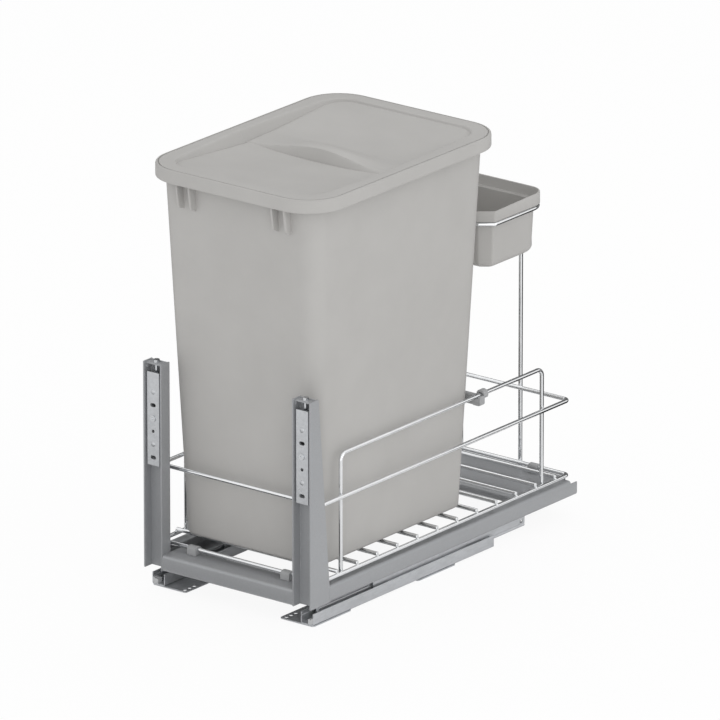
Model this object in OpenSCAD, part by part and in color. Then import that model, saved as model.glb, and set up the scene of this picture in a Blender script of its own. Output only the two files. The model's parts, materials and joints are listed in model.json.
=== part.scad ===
// Pull-out waste bin for a base cabinet: a folded steel frame with a wire basket
// runs on two floor mounted telescopic slides and carries a lidded bin and a tray.
// X is across the cabinet, Y runs from the door to the back, Z is up.

/* [Frame] */
// Width over the side rails
frame_w = 246; // [230:1:280]
// Length from the door side to the rear end of the rails
frame_l = 510; // [480:1:560]
// Height of the side rails, front bar and rear plate
rail_h = 20; // [17:0.5:26]
// Width of the top flange of a side rail
rail_top_w = 17; // [13:0.5:20]
// Width of the bottom flange of a side rail
rail_bottom_w = 26; // [24:0.5:32]
// Length over which a side rail's top flange is cut away at the rear
rail_notch = 12; // [8:0.5:20]
// Thickness of the folded frame sheet
sheet_t = 1.5; // [1:0.1:2]
// Bend radius of the folded frame sheet, at mid thickness
sheet_bend = 3; // [1.5:0.1:4]
// Depth of the front bar's top flange
bar_top_d = 38; // [34:0.5:42]
// Depth of the front bar's bottom flange
bar_bottom_d = 12; // [8:0.5:20]
// Length of the rear plate along the frame
plate_l = 100; // [80:1:130]
// Height of the lips folded down at the ends of the bar and plate
lip_h = 8; // [6:0.5:14]

/* [Uprights] */
// Height of the door uprights above the frame's underside
upright_h = 253; // [220:1:300]
// Width of an upright
upright_w = 27; // [24:0.5:32]
// Depth of an upright's inner wall
upright_d = 16; // [14:0.5:20]
// Depth of an upright's outer wall at the foot
gusset_d = 36; // [30:0.5:44]
// Depth of the recess in front of the web
recess_d = 12.4; // [11:0.1:15]
// Wall thickness of an upright
upright_t = 2; // [1.5:0.1:2.5]

/* [Door brackets] */
// Width of a bracket plate
bracket_w = 17.6; // [15:0.1:19]
// Height of a bracket plate
bracket_h = 114; // [100:1:130]
// Thickness of a bracket plate
bracket_t = 2; // [1.5:0.1:2.5]
// Distance from the upright's top to the plate's top
bracket_drop = 12; // [10:0.5:20]
// Setback of the plate behind the upright's front edges
bracket_setback = 1.6; // [1.4:0.1:2]
// Pitch of the features on a plate
bracket_pitch = 16; // [14:0.5:17]
// Distance from the plate's lower end to the lower slot
bracket_first = 10; // [8:0.5:14]
// Length of a door screw slot
slot_l = 8; // [6:0.1:10]
// Width of a door screw slot
slot_w = 4.6; // [4:0.1:5.4]
// Diameter of the pilot hole
pilot_d = 4; // [3:0.1:5]
// Thickness of the slider sheet behind the plate
slider_t = 1.5; // [1:0.1:2]
// Height adjustment to each side of the middle
adjust_travel = 3; // [2:0.5:4]
// Height of the block that holds the adjusting screw
block_h = 7; // [5:0.5:8]
// Diameter of the adjusting and clamping screws
screw_d = 4; // [3:0.5:5]
// Diameter of the screw and rivet heads on a plate
head_d = 7.6; // [6:0.1:9]
// Height of the screw and rivet heads on a plate
head_h = 1.3; // [0.8:0.1:1.4]
// Height of the adjusting screw's head
adjuster_head_h = 3.5; // [2.5:0.5:5]

/* [Wire basket] */
// Wire diameter
wire_d = 5; // [4:0.1:6]
// Height of the rim wire's middle above the frame's top
rim_rise = 7; // [6:0.1:10]
// Distance from the frame's front to the front rim wire
rim_front = 26; // [24:0.5:34]
// Distance from the frame's rear end to the rear rim wire
rim_rear = 12; // [11:0.5:20]
// Bend radius of the rim and guard wires
rim_bend = 6; // [5:0.5:12]
// Number of cross wires
cross_count = 12; // [9:1:13]
// Distance from the frame's front to the first cross wire
cross_first = 55.8; // [50:0.1:60]
// Last cross wire, from the frame's rear end
cross_last = 37.3; // [34:0.1:60]
// Height of the guard wire above the rim wire
guard_rise = 93.5; // [70:0.5:120]
// Height of the hoops above the rim wire
hoop_rise = 144; // [125:0.5:170]
// Distance from the frame's front to the front leg of a hoop
hoop_front = 68; // [63:0.5:74]
// Distance from the frame's rear end to the rear leg of a hoop
hoop_rear = 58; // [50:0.5:70]
// Bend radius of a hoop
hoop_bend = 9; // [7:0.5:14]
// Depth to which welded wires sink into each other
weld = 0.2; // [0.1:0.05:0.4]

/* [Clips and stop bar] */
// Distance of the clips from the middle of the frame
clip_x = 69; // [55:0.5:80]
// Width of a clip
clip_w = 13; // [10:0.5:18]
// Depth of a clip
clip_d = 15; // [12:0.5:17]
// Wall of a clip above the rim wire
clip_wall = 2.4; // [2:0.1:4]
// Height of the stop bar
stop_h = 13; // [9:0.5:16]
// Thickness of the stop bar
stop_t = 7; // [5:0.5:9]
// Length of the stop bar's end clips along the hoops
stop_clip_l = 13.5; // [12.5:0.5:20]
// Distance by which the end clips stand in front of the stop bar
stop_lead = 5; // [2:0.5:5.5]
// Depth of the end clips below the hoop wire
stop_jaw = 8; // [5:0.5:10]
// Wall of the stop bar's end clips around the hoop wire
stop_wall = 3; // [2:0.1:4]
// Gap between the stop bar and the bin
stop_gap = 1; // [0.5:0.1:4]

/* [Slides] */
// Width of a cabinet rail
channel_w = 18.5; // [17:0.1:22]
// Height of a cabinet rail
channel_h = 14.5; // [13.5:0.1:16]
// Length of a cabinet rail
channel_l = 343; // [320:1:350]
// Sheet thickness of a cabinet rail
channel_t = 1.2; // [1:0.1:1.4]
// Setback of the cabinet rails behind the frame's front
channel_front = 10.5; // [8:0.5:14]
// Distance from the side rail's outer face to the cabinet rail
slide_inset = 4; // [3:0.1:6]
// Height from the cabinet rail's top to the frame's underside
slide_gap = 8; // [7:0.1:9.5]
// Distance from the frame's front to the front end of a middle rail
mid_front = 128; // [120:1:140]
// Length of a middle rail
mid_l = 290; // [280:1:310]
// Sheet thickness of a middle rail
mid_t = 1.2; // [1:0.1:1.4]
// Clear height between the cabinet rail's floor and the middle rail
mid_lift = 6.1; // [5:0.1:6.5]
// Diameter of the hole near the rear end of a middle rail
mid_hole_d = 5; // [3:0.5:6]
// Thickness of the runner's top flange
runner_t = 1.5; // [1.2:0.1:2]
// Width of the runner's top flange
runner_w = 16; // [13:0.5:18]
// Depth of the runner's blade below its flange
blade_h = 11; // [10:0.1:11.4]
// Setback of the runner behind the frame's front
runner_front = 30; // [5:0.5:34]
// Length of the runner
runner_l = 385; // [375:1:387]
// Travel of the frame on its slides
travel = 360; // [320:5:370]
// Ball diameter between cabinet rail and middle rail
lower_ball_d = 3; // [2.6:0.1:3.4]
// Ball diameter between middle rail and runner
upper_ball_d = 2.5; // [2.2:0.1:2.8]
// Depth of a ball in each of its two raceways
race_depth = 0.2; // [0.1:0.05:0.3]
// Play around a ball
ball_play = 0.2; // [0.15:0.05:0.3]
// Number of balls in a row beside the cabinet rail
lower_count = 6; // [3:1:7]
// Number of balls in a row beside the runner
upper_count = 4; // [2:1:4]
// Pitch of the balls in a row
ball_pitch = 26; // [20:0.5:27]
// Distance from a cage's end to its first ball
cage_end = 10; // [6:0.5:12]
// Sheet thickness of the ball cages
cage_t = 0.6; // [0.5:0.1:0.8]

/* [Feet] */
// Thickness of a foot plate
foot_t = 1.5; // [1.2:0.1:2.5]
// Width of a foot plate
foot_w = 49.5; // [44:0.5:60]
// Length of a foot plate
foot_l = 72; // [60:1:90]
// Distance from the cabinet rail's front end to the rear foot
rear_foot_y = 198; // [170:1:230]
// Number of screw holes in a foot plate
foot_holes = 3; // [2:1:4]
// Diameter of a foot's screw hole
foot_hole_d = 5; // [4:0.1:6]
// Pitch of a foot's screw holes
foot_hole_pitch = 8.7; // [7:0.1:12]
// Distance from a foot's edges to the first screw hole
foot_hole_edge = 5.5; // [4:0.1:8]
// Corner radius of a foot plate
foot_corner = 3; // [1:0.5:5]
// Diameter of the rivets that hold the feet
rivet_d = 4; // [3:0.5:5]

/* [Bin] */
// Height of the bin from its base to its rim
bin_h = 454.5; // [420:0.5:490]
// Gap between the bin and the hoops at the top of the hoops
bin_side_gap = 8; // [4:0.5:14]
// Distance from the front guard wire to the bin's wall at the same height
bin_front_gap = 14; // [10:0.5:18]
// Length of the bin's base
bin_base_l = 275; // [250:1:285]
// Draft of the bin's side walls, as run over rise
side_draft = 0.036; // [0.01:0.002:0.045]
// Draft of the bin's front and rear walls, as run over rise
end_draft = 0.062; // [0.03:0.002:0.07]
// Wall thickness of the bin and its lid
bin_wall = 2.5; // [2:0.1:3.5]
// Corner radius of the bin in plan, at the base
bin_corner = 16; // [12:0.5:24]
// Edge radius of the bin's base
bin_foot_r = 4; // [3:0.5:12]
// Width of the rim lip around the bin's top
bin_lip_w = 12.5; // [10:0.5:15]
// Thickness of the rim lip
bin_lip_t = 3; // [2:0.1:4]
// Distance of the first front rib from the bin's middle
rib_x = 60.5; // [45:0.5:64]
// Spacing of the two ribs of a pair
rib_pair = 18; // [14:0.5:22]
// Thickness of a rib
rib_t = 4; // [2:0.5:6]
// Height of a rib below the rim lip
rib_h = 46; // [30:1:55]
// Depth of a rib in front of the bin's wall, at its upper end
rib_d = 10.5; // [6:0.5:12]

/* [Lid] */
// Height of the lid's skirt
skirt_h = 16; // [12:0.5:22]
// Play between the lid's skirt and the bin's rim lip
lid_play = 0.5; // [0.3:0.1:1]
// Corner radius of the lid in plan
lid_corner = 49.5; // [40:0.5:56]
// Width of the lid's flat border at the sides
border_w = 26; // [20:0.5:32]
// Width of the lid's flat border at front and rear
border_end = 22; // [20.5:0.5:30]
// Depth of the valley in the lid's middle
valley_depth = 15; // [10:0.5:20]
// Depth of the recess at its front and rear ends
recess_end = 2; // [1:0.5:4]
// Rise of the handle's arch above the valley
arch_rise = 12; // [8:0.5:14]
// Thickness of the handle along the lid
arch_t = 26; // [16:0.5:34]

/* [Tray] */
// Height of the tray's ring wire above the frame's underside
ring_h = 356; // [340:1:400]
// Half the distance between the two posts
post_x = 44; // [36:0.5:54]
// Half the width of the tray
tray_half_w = 84; // [74:0.5:95]
// Gap between the lid and the tray
tray_gap = 22; // [14:0.5:32]
// Height of the tray's rim band
band_h = 13; // [10:0.5:18]
// Depth of the tray below its ring
tray_depth = 56; // [40:1:70]
// Wall thickness of the tray
tray_wall = 2; // [1.6:0.1:3]
// Draft of the tray's walls from ring to base
tray_draft = 2; // [1:0.5:9]
// Edge radius of the tray's base
tray_foot_r = 6; // [4:0.5:9]
// Chamfer of the tray's front corners across the tray
tray_chamfer = 18; // [12:0.5:26]
// Corner radius of the tray's rim band at the rear
tray_corner = 20; // [14:0.5:26]

// Corner radius of the tray's body and its ring wire at the rear
ring_corner = 26; // [22:0.5:32]

/* [Clearances] */
// Gap between a lifted-out piece and the wires that carry it
seat_gap = 0.3; // [0.2:0.05:0.5]
// Gap at each side of a sliding fit
slide_play = 0.4; // [0.3:0.05:0.6]
// Gap around a screw or rivet in its hole
hole_play = 0.1; // [0.05:0.01:0.2]

/* [Hidden] */
$fn = 48;
arc_steps = 5;

// Places along the frame, from its front end backwards
front_y = -frame_l / 2;
rear_y = frame_l / 2;
half_w = frame_w / 2;

// Heights of the frame above the cabinet floor
frame_z = foot_t + channel_h + slide_gap;
frame_top = frame_z + rail_h;

// Slide section, from the cabinet rail inwards
slide_x = half_w - slide_inset - channel_w / 2;
channel_floor = foot_t + channel_t;
channel_top = foot_t + channel_h;
channel_y0 = front_y + channel_front;
channel_y1 = channel_y0 + channel_l;
lower_gap = lower_ball_d - 2 * race_depth;
upper_gap = upper_ball_d - 2 * race_depth;
mid_w = channel_w - 2 * channel_t - 2 * lower_gap;
mid_inner = mid_w - 2 * mid_t;
mid_z0 = channel_floor + mid_lift;
runner_z0 = frame_z - runner_t;
mid_z1 = runner_z0 - slide_play;
mid_y0 = front_y + mid_front;
mid_y1 = mid_y0 + mid_l;
mid_hole_edge = 7;
runner_y0 = front_y + runner_front;
runner_y1 = runner_y0 + runner_l;
mid_hole_z = mid_z0 + mid_t + (mid_z1 - mid_z0 - mid_t) * 0.55;
blade_t = mid_inner - 2 * upper_gap;
blade_z0 = runner_z0 - blade_h;
lower_ball_x = mid_w / 2 + lower_gap / 2;
upper_ball_x = blade_t / 2 + upper_gap / 2;
lower_ball_z = (mid_z0 + channel_top) / 2;
upper_ball_z = (blade_z0 + mid_z1) / 2;
lower_cage_y = (mid_y0 + mid_y1 - travel / 4) / 2;
upper_cage_y = (mid_y0 + runner_y1) / 2;
cage_reach = 3;
cage_bend = 0.9;
lower_cage_z0 = (channel_floor + mid_z0) / 2;
upper_cage_z0 = (mid_z0 + mid_t + blade_z0) / 2;
rail_bend = 1.4;
runner_screw_ends = 40;
runner_screw_count = 4;
runner_screw_d = 2.5;
runner_head_d = 6;
runner_head_h = 1.8;
runner_screw_l = 8;

// Feet and what holds them
foot_x1 = slide_x + channel_w / 2;
foot_x0 = foot_x1 - foot_w;
rivet_head_d = rivet_d + 2.5;
rivet_head_h = 0.9;
rivet_edge = 12;
bumper_l = 8;
bumper_w = 7;
bumper_under = mid_lift - slide_play;
bumper_side = lower_gap - slide_play;
bumper_side_h = 7;
bumper_peg_d = 2.4;
bumper_peg_z = channel_floor + bumper_side_h - bumper_peg_d / 2 - 1;

// Uprights and brackets, all measured from the uprights' top
upright_x0 = half_w - upright_w;
upright_top = frame_z + upright_h;
recess_x0 = upright_x0 + upright_t;
recess_x1 = half_w - upright_t;
bracket_x = (recess_x0 + recess_x1) / 2;
bracket_y = front_y + bracket_setback;
bracket_z1 = upright_top - bracket_drop;
bracket_z0 = bracket_z1 - bracket_h;
lower_slot_z = bracket_z0 + bracket_first;
upper_slot_z = lower_slot_z + 4 * bracket_pitch;
lower_rivet_z = lower_slot_z + bracket_pitch;
upper_rivet_z = lower_slot_z + 5 * bracket_pitch;
pilot_z = lower_slot_z + 2 * bracket_pitch;
clamp_z = lower_slot_z + 3 * bracket_pitch;
slider_y0 = bracket_y + bracket_t;
slider_y1 = front_y + recess_d - slide_play;
slider_z0 = bracket_z0 + 4;
slider_z1 = bracket_z1 - 4;
slider_w = recess_x1 - recess_x0 - 2 * slide_play;
web_y0 = front_y + recess_d;
web_y1 = web_y0 + upright_t;
block_z1 = upright_top - 1;
block_z0 = block_z1 - block_h;
adjuster_y = (slider_y0 + slider_t + slider_y1) / 2;
adjuster_l = block_h + bracket_drop + adjust_travel + 3;
nut_w = 1.75 * screw_d;
nut_h = 0.8 * screw_d;
nut_play = 0.3;

// Wire basket
rim_x = half_w - upright_t - wire_d / 2 + weld;
rim_y0 = front_y + rim_front;
rim_y1 = rear_y - rim_rear;
rim_z = frame_top + rim_rise;
welded = wire_d - weld;
cross_z = rim_z + welded;
cross_pitch = (frame_l - cross_first - cross_last) / (cross_count - 1);
guard_z = rim_z + guard_rise;
hoop_x = rim_x - welded;
hoop_z = rim_z + hoop_rise;
hoop_y0 = front_y + hoop_front;
hoop_y1 = rear_y - hoop_rear;
post_y = rim_y1 + welded;
ring_z = frame_z + ring_h;
ring_y1 = post_y - welded;
ring_overhang = 1.5;
stand_bend = 6;

// Bin, from the wires that carry it
bin_z0 = cross_z + wire_d / 2 + seat_gap;
bin_z1 = bin_z0 + bin_h;
bin_hoop_x = hoop_x - wire_d / 2 - bin_side_gap;
bin_base_x = bin_hoop_x - side_draft * (hoop_z - bin_z0);
bin_base_y0 = rim_y0 + bin_front_gap + end_draft * (guard_z - bin_z0);
bin_base_y1 = bin_base_y0 + bin_base_l;
bin_top_x = bin_base_x + side_draft * bin_h;
bin_top_y0 = bin_base_y0 - end_draft * bin_h;
bin_top_y1 = bin_base_y1 + end_draft * bin_h;
bin_top_corner = bin_corner + side_draft * bin_h / 2;
lip_corner = lid_corner - bin_wall - lid_play;

// Lid, from the bin's rim lip
lid_grow = bin_lip_w + lid_play + bin_wall;
lid_x = bin_top_x + lid_grow;
lid_y0 = bin_top_y0 - lid_grow;
lid_y1 = bin_top_y1 + lid_grow;
lid_z1 = bin_z1 + bin_wall;
lid_z0 = lid_z1 - skirt_h;
arch_y0 = (lid_y0 + lid_y1 - arch_t) / 2;
recess_corner = max(lid_corner - border_end, 4);

// Stop bar behind the bin, riding on the hoops
stop_y0 = bin_base_y1 + end_draft * (hoop_z - bin_z0) + stop_gap;
stop_z1 = hoop_z - 0.5;
stop_mouth = 0.8 * wire_d;

// Tray, from the lid's rear edge to the stand
tray_y0 = ceil(lid_y1 + tray_gap);
tray_y1 = ring_y1 - ring_overhang;
tray_inset = ring_overhang + wire_d / 2 + slide_play;
band_z0 = ring_z + wire_d / 2 + seat_gap;
band_z1 = band_z0 + band_h;
tray_z0 = ring_z - tray_depth;

painted = [0.55, 0.56, 0.57];
zinc = [0.74, 0.76, 0.78];
chrome = [0.86, 0.87, 0.88];
bin_grey = [0.70, 0.69, 0.68];
clip_grey = [0.52, 0.53, 0.54];
pale_plastic = [0.82, 0.83, 0.84];
bearing = [0.80, 0.81, 0.83];

// Plane geometry of bent sheet and bent wire
function unit(v) = v / norm(v);
function left_of(v) = [-v.y, v.x];
function turned(v, a) = [v.x * cos(a) - v.y * sin(a), v.x * sin(a) + v.y * cos(a)];
function cross_of(a, b) = a.x * b.y - a.y * b.x;
function bend_sign(a, b) = cross_of(a, b) < 0 ? -1 : 1;
function bend_angle(a, b) = acos(min(1, max(-1, a * b)));
function reversed(list) = [for (i = [len(list) - 1 : -1 : 0]) list[i]];

// One face of a bent sheet, at distance off to the left of its middle line
function sheet_face(path, r, off) = [
    path[0] + off * left_of(unit(path[1] - path[0])),
    for (i = [1 : len(path) - 2])
        let (
            a = unit(path[i] - path[i - 1]),
            b = unit(path[i + 1] - path[i]),
            s = bend_sign(a, b),
            angle = bend_angle(a, b),
            centre = path[i] - a * r * tan(angle / 2) + s * r * left_of(a)
        )
        for (k = [0 : arc_steps])
            centre + (r - s * off) * turned(-s * left_of(a), s * angle * k / arc_steps),
    path[len(path) - 1] + off * left_of(unit(path[len(path) - 1] - path[len(path) - 2]))
];
function sheet_outline(path, t, r) =
    concat(sheet_face(path, r, t / 2), reversed(sheet_face(path, r, -t / 2)));

// Rectangle with round corners
function arc(centre, r, from) =
    [for (k = [0 : 2 * arc_steps]) let (a = from + 45 * k / arc_steps) centre + r * [cos(a), sin(a)]];
function round_rect(x, y0, y1, r) = concat(
    arc([x - r, y1 - r], r, 0),
    arc([-x + r, y1 - r], r, 90),
    arc([-x + r, y0 + r], r, 180),
    arc([x - r, y0 + r], r, 270)
);

// The tray's outline: round rear corners and chamfered front corners
function tray_outline(inset, corner) =
    let (
        x = tray_half_w - inset,
        y0 = tray_y0 + inset,
        y1 = tray_y1 - inset,
        r = max(corner, 1),
        c = tray_chamfer - inset * 2 / 3
    )
    concat(
        arc([x - r, y1 - r], r, 0),
        arc([-x + r, y1 - r], r, 90),
        [[-x, y0 + 0.75 * c], [-x + c, y0], [x - c, y0], [x, y0 + 0.75 * c]]
    );

// Extrusions along the three axes
module along_x(x0, x1) {
    translate([x0, 0, 0])
        rotate([90, 0, 90])
            linear_extrude(x1 - x0)
                children();
}

module along_y(y0, y1) {
    translate([0, y1, 0])
        rotate([90, 0, 0])
            linear_extrude(y1 - y0)
                children();
}

module along_z(z0, z1) {
    translate([0, 0, z0])
        linear_extrude(z1 - z0)
            children();
}

module rod_x(x0, x1, y, z, d) {
    translate([x0, y, z])
        rotate([0, 90, 0])
            cylinder(h = x1 - x0, d = d);
}

module rod_y(x, y0, y1, z, d) {
    translate([x, y1, z])
        rotate([90, 0, 0])
            cylinder(h = y1 - y0, d = d);
}

module rod_z(x, y, z0, z1, d) {
    translate([x, y, z0])
        cylinder(h = z1 - z0, d = d);
}

module left() {
    mirror([1, 0, 0])
        children();
}

module both_sides() {
    children();
    left()
        children();
}

// A wire bent in its own plane: straight lengths joined by round bends, one radius per corner
module bent_wire(points, bends, closed) {
    n = len(points);
    last = closed ? n - 1 : n - 2;
    for (i = [0 : last]) {
        j = (i + 1) % n;
        p = points[i];
        q = points[j];
        d = unit(q - p);
        start = closed || i > 0 ? bend_angle(unit(p - points[(i + n - 1) % n]), d) : 0;
        end = closed || i < n - 2 ? bend_angle(d, unit(points[(i + 2) % n] - q)) : 0;
        trim0 = bends[i] * tan(start / 2);
        trim1 = bends[j] * tan(end / 2);
        a = p + d * trim0;
        translate([a.x, a.y, 0])
            rotate([0, 90, atan2(d.y, d.x)])
                cylinder(h = norm(q - p) - trim0 - trim1, d = wire_d);
        if (end > 0)
            wire_bend(q, d, unit(points[(i + 2) % n] - q), bends[j]);
    }
}

module wire_bend(corner, a, b, r) {
    s = bend_sign(a, b);
    angle = bend_angle(a, b);
    centre = corner - a * r * tan(angle / 2) + s * r * left_of(a);
    from = -s * left_of(s > 0 ? a : b);
    translate([centre.x, centre.y, 0])
        rotate([0, 0, atan2(from.y, from.x)])
            rotate_extrude(angle = angle)
                translate([r, 0])
                    circle(d = wire_d);
}

// Cabinet rails, feet and bumpers, fixed to the cabinet floor
module cabinet_rail() {
    x0 = slide_x - channel_w / 2 + channel_t / 2;
    x1 = slide_x + channel_w / 2 - channel_t / 2;
    z0 = foot_t + channel_t / 2;
    path = [[x0, channel_top], [x0, z0], [x1, z0], [x1, channel_top]];
    race = lower_ball_d + 2 * ball_play;
    peg_y = channel_y0 + bumper_l / 2;
    color(zinc)
        difference() {
            along_y(channel_y0, channel_y1)
                polygon(sheet_outline(path, channel_t, rail_bend));
            for (s = [-1, 1])
                rod_y(slide_x + s * lower_ball_x, channel_y0 - 1, channel_y1 + 1, lower_ball_z, race);
            for (y = rivet_places)
                rod_z(slide_x, y, foot_t - 1, channel_floor + 1, rivet_d + 2 * hole_play);
            rod_x(slide_x, foot_x1 + 1, peg_y, bumper_peg_z, bumper_peg_d + 2 * hole_play);
        }
}
foot_starts = [channel_y0, channel_y0 + rear_foot_y];
rivet_places = [for (y = foot_starts, end = [rivet_edge, foot_l - rivet_edge]) y + end];

module left_cabinet_rail() { left() cabinet_rail(); }
module right_cabinet_rail() { cabinet_rail(); }

module foot(y0) {
    x = (foot_x1 - foot_x0) / 2;
    hole_x = foot_x0 + foot_hole_edge;
    hole_y = y0 + foot_hole_edge;
    color(zinc)
        difference() {
            along_z(0, foot_t)
                translate([foot_x0 + x, 0])
                    polygon(round_rect(x, y0, y0 + foot_l, foot_corner));
            for (i = [0 : foot_holes - 1])
                rod_z(hole_x, hole_y + i * foot_hole_pitch, -1, foot_t + 1, foot_hole_d);
            for (end = [rivet_edge, foot_l - rivet_edge])
                rod_z(slide_x, y0 + end, -1, foot_t + 1, rivet_d + 2 * hole_play);
        }
}

module left_front_foot() { left() foot(foot_starts[0]); }
module left_rear_foot() { left() foot(foot_starts[1]); }
module right_front_foot() { foot(foot_starts[0]); }
module right_rear_foot() { foot(foot_starts[1]); }

module foot_rivets() {
    color(bearing)
        for (y = rivet_places) {
            rod_z(slide_x, y, 0, channel_floor, rivet_d);
            rod_z(slide_x, y, channel_floor, channel_floor + rivet_head_h, rivet_head_d);
        }
}

module left_foot_rivets() { left() foot_rivets(); }
module right_foot_rivets() { foot_rivets(); }

module bumper() {
    x1 = slide_x + channel_w / 2 - channel_t;
    z0 = channel_floor;
    section = [
        [x1 - bumper_w, z0], [x1 - rail_bend, z0],
        [x1, z0 + rail_bend], [x1, z0 + bumper_side_h],
        [x1 - bumper_side, z0 + bumper_side_h], [x1 - bumper_side, z0 + bumper_under],
        [x1 - bumper_w, z0 + bumper_under]
    ];
    color(pale_plastic) {
        along_y(channel_y0, channel_y0 + bumper_l)
            polygon(section);
        rod_x(x1 - bumper_side / 2, foot_x1, channel_y0 + bumper_l / 2, bumper_peg_z, bumper_peg_d);
    }
}

module left_bumper() { left() bumper(); }
module right_bumper() { bumper(); }

// Middle rails, ball cages and balls
module middle_rail() {
    x0 = slide_x - mid_w / 2 + mid_t / 2;
    x1 = slide_x + mid_w / 2 - mid_t / 2;
    z0 = mid_z0 + mid_t / 2;
    path = [[x0, mid_z1], [x0, z0], [x1, z0], [x1, mid_z1]];
    lower_race = lower_ball_d + 2 * ball_play;
    upper_race = upper_ball_d + 2 * ball_play;
    color(zinc)
        difference() {
            along_y(mid_y0, mid_y1)
                polygon(sheet_outline(path, mid_t, rail_bend));
            for (s = [-1, 1]) {
                rod_y(slide_x + s * lower_ball_x, mid_y0 - 1, mid_y1 + 1, lower_ball_z, lower_race);
                rod_y(slide_x + s * upper_ball_x, mid_y0 - 1, mid_y1 + 1, upper_ball_z, upper_race);
            }
            rod_x(slide_x - mid_w, slide_x + mid_w, mid_y1 - mid_hole_edge, mid_hole_z, mid_hole_d);
        }
}

module left_middle_rail() { left() middle_rail(); }
module right_middle_rail() { middle_rail(); }

function ball_row(y, count) = [for (i = [0 : count - 1]) y + (i - (count - 1) / 2) * ball_pitch];

module cage(reach_x, z0, ball_z, ball_d, row) {
    z1 = ball_z + cage_reach;
    path = [[-reach_x, z1], [-reach_x, z0], [reach_x, z0], [reach_x, z1]];
    color(bearing)
        difference() {
            along_y(row[0] - cage_end, row[len(row) - 1] + cage_end)
                translate([slide_x, 0])
                    polygon(sheet_outline(path, cage_t, cage_bend));
            for (y = row)
                rod_x(slide_x - 2 * reach_x, slide_x + 2 * reach_x, y, ball_z, ball_d + 2 * ball_play);
        }
}

module balls(reach_x, ball_z, ball_d, row) {
    color(chrome)
        for (y = row, s = [-1, 1])
            translate([slide_x + s * reach_x, y, ball_z])
                sphere(d = ball_d);
}

lower_row = ball_row(lower_cage_y, lower_count);
upper_row = ball_row(upper_cage_y, upper_count);
module lower_cage() { cage(lower_ball_x, lower_cage_z0, lower_ball_z, lower_ball_d, lower_row); }
module upper_cage() { cage(upper_ball_x, upper_cage_z0, upper_ball_z, upper_ball_d, upper_row); }
module lower_balls() { balls(lower_ball_x, lower_ball_z, lower_ball_d, lower_row); }
module upper_balls() { balls(upper_ball_x, upper_ball_z, upper_ball_d, upper_row); }
module left_lower_cage() { left() lower_cage(); }
module right_lower_cage() { lower_cage(); }
module left_lower_balls() { left() lower_balls(); }
module right_lower_balls() { lower_balls(); }
module left_upper_cage() { left() upper_cage(); }
module right_upper_cage() { upper_cage(); }
module left_upper_balls() { left() upper_balls(); }
module right_upper_balls() { upper_balls(); }

// Runners under the side rails
runner_screw_step = (runner_y1 - runner_y0 - 2 * runner_screw_ends) / (runner_screw_count - 1);
runner_screw_y0 = runner_y0 + runner_screw_ends;
runner_screw_places = [for (i = [0 : runner_screw_count - 1]) runner_screw_y0 + i * runner_screw_step];

module runner() {
    race = upper_ball_d + 2 * ball_play;
    screw_z0 = frame_z - runner_screw_l - hole_play;
    color(zinc)
        difference() {
            union() {
                translate([slide_x - runner_w / 2, runner_y0, runner_z0])
                    cube([runner_w, runner_y1 - runner_y0, runner_t]);
                translate([slide_x - blade_t / 2, runner_y0, blade_z0])
                    cube([blade_t, runner_y1 - runner_y0, blade_h]);
            }
            for (s = [-1, 1])
                rod_y(slide_x + s * upper_ball_x, runner_y0 - 1, runner_y1 + 1, upper_ball_z, race);
            for (y = runner_screw_places)
                rod_z(slide_x, y, screw_z0, frame_z + 1, runner_screw_d + 2 * hole_play);
        }
}

module left_runner() { left() runner(); }
module right_runner() { runner(); }

module runner_screws() {
    color(bearing)
        for (y = runner_screw_places) {
            rod_z(slide_x, y, frame_z - runner_screw_l, frame_z + sheet_t, runner_screw_d);
            rod_z(slide_x, y, frame_z + sheet_t, frame_z + sheet_t + runner_head_h, runner_head_d);
        }
}

module left_runner_screws() { left() runner_screws(); }
module right_runner_screws() { runner_screws(); }

// Folded frame
module side_rail() {
    x1 = half_w - sheet_t / 2;
    z0 = frame_z + sheet_t / 2;
    z1 = frame_top - sheet_t / 2;
    path = [[half_w - rail_top_w, z1], [x1, z1], [x1, z0], [half_w - rail_bottom_w, z0]];
    color(painted)
        difference() {
            along_y(front_y + gusset_d, rear_y)
                polygon(sheet_outline(path, sheet_t, sheet_bend));
            for (y = runner_screw_places)
                rod_z(slide_x, y, frame_z - 1, frame_z + sheet_t + 1, runner_screw_d + 2 * hole_play);
            translate([0, rear_y - rail_notch, frame_top - sheet_bend - sheet_t / 2])
                cube([half_w + 1, rail_notch + 1, rail_h]);
        }
}

module left_side_rail() { left() side_rail(); }
module right_side_rail() { side_rail(); }

module front_bar() {
    y0 = front_y + sheet_t / 2;
    y1 = front_y + bar_top_d - sheet_t / 2;
    z0 = frame_z + sheet_t / 2;
    z1 = frame_top - sheet_t / 2;
    path = [[front_y + bar_bottom_d, z0], [y0, z0], [y0, z1], [y1, z1], [y1, frame_top - lip_h]];
    color(painted)
        along_x(-upright_x0, upright_x0)
            polygon(sheet_outline(path, sheet_t, sheet_bend));
}

module rear_plate() {
    y0 = rear_y - plate_l + sheet_t / 2;
    y1 = rear_y - sheet_t / 2;
    z1 = frame_top - sheet_t / 2;
    path = [[y0, frame_top - lip_h], [y0, z1], [y1, z1], [y1, frame_z + sheet_t]];
    reach = half_w - rail_top_w;
    color(painted)
        along_x(-reach, reach)
            polygon(sheet_outline(path, sheet_t, sheet_bend));
}

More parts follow.
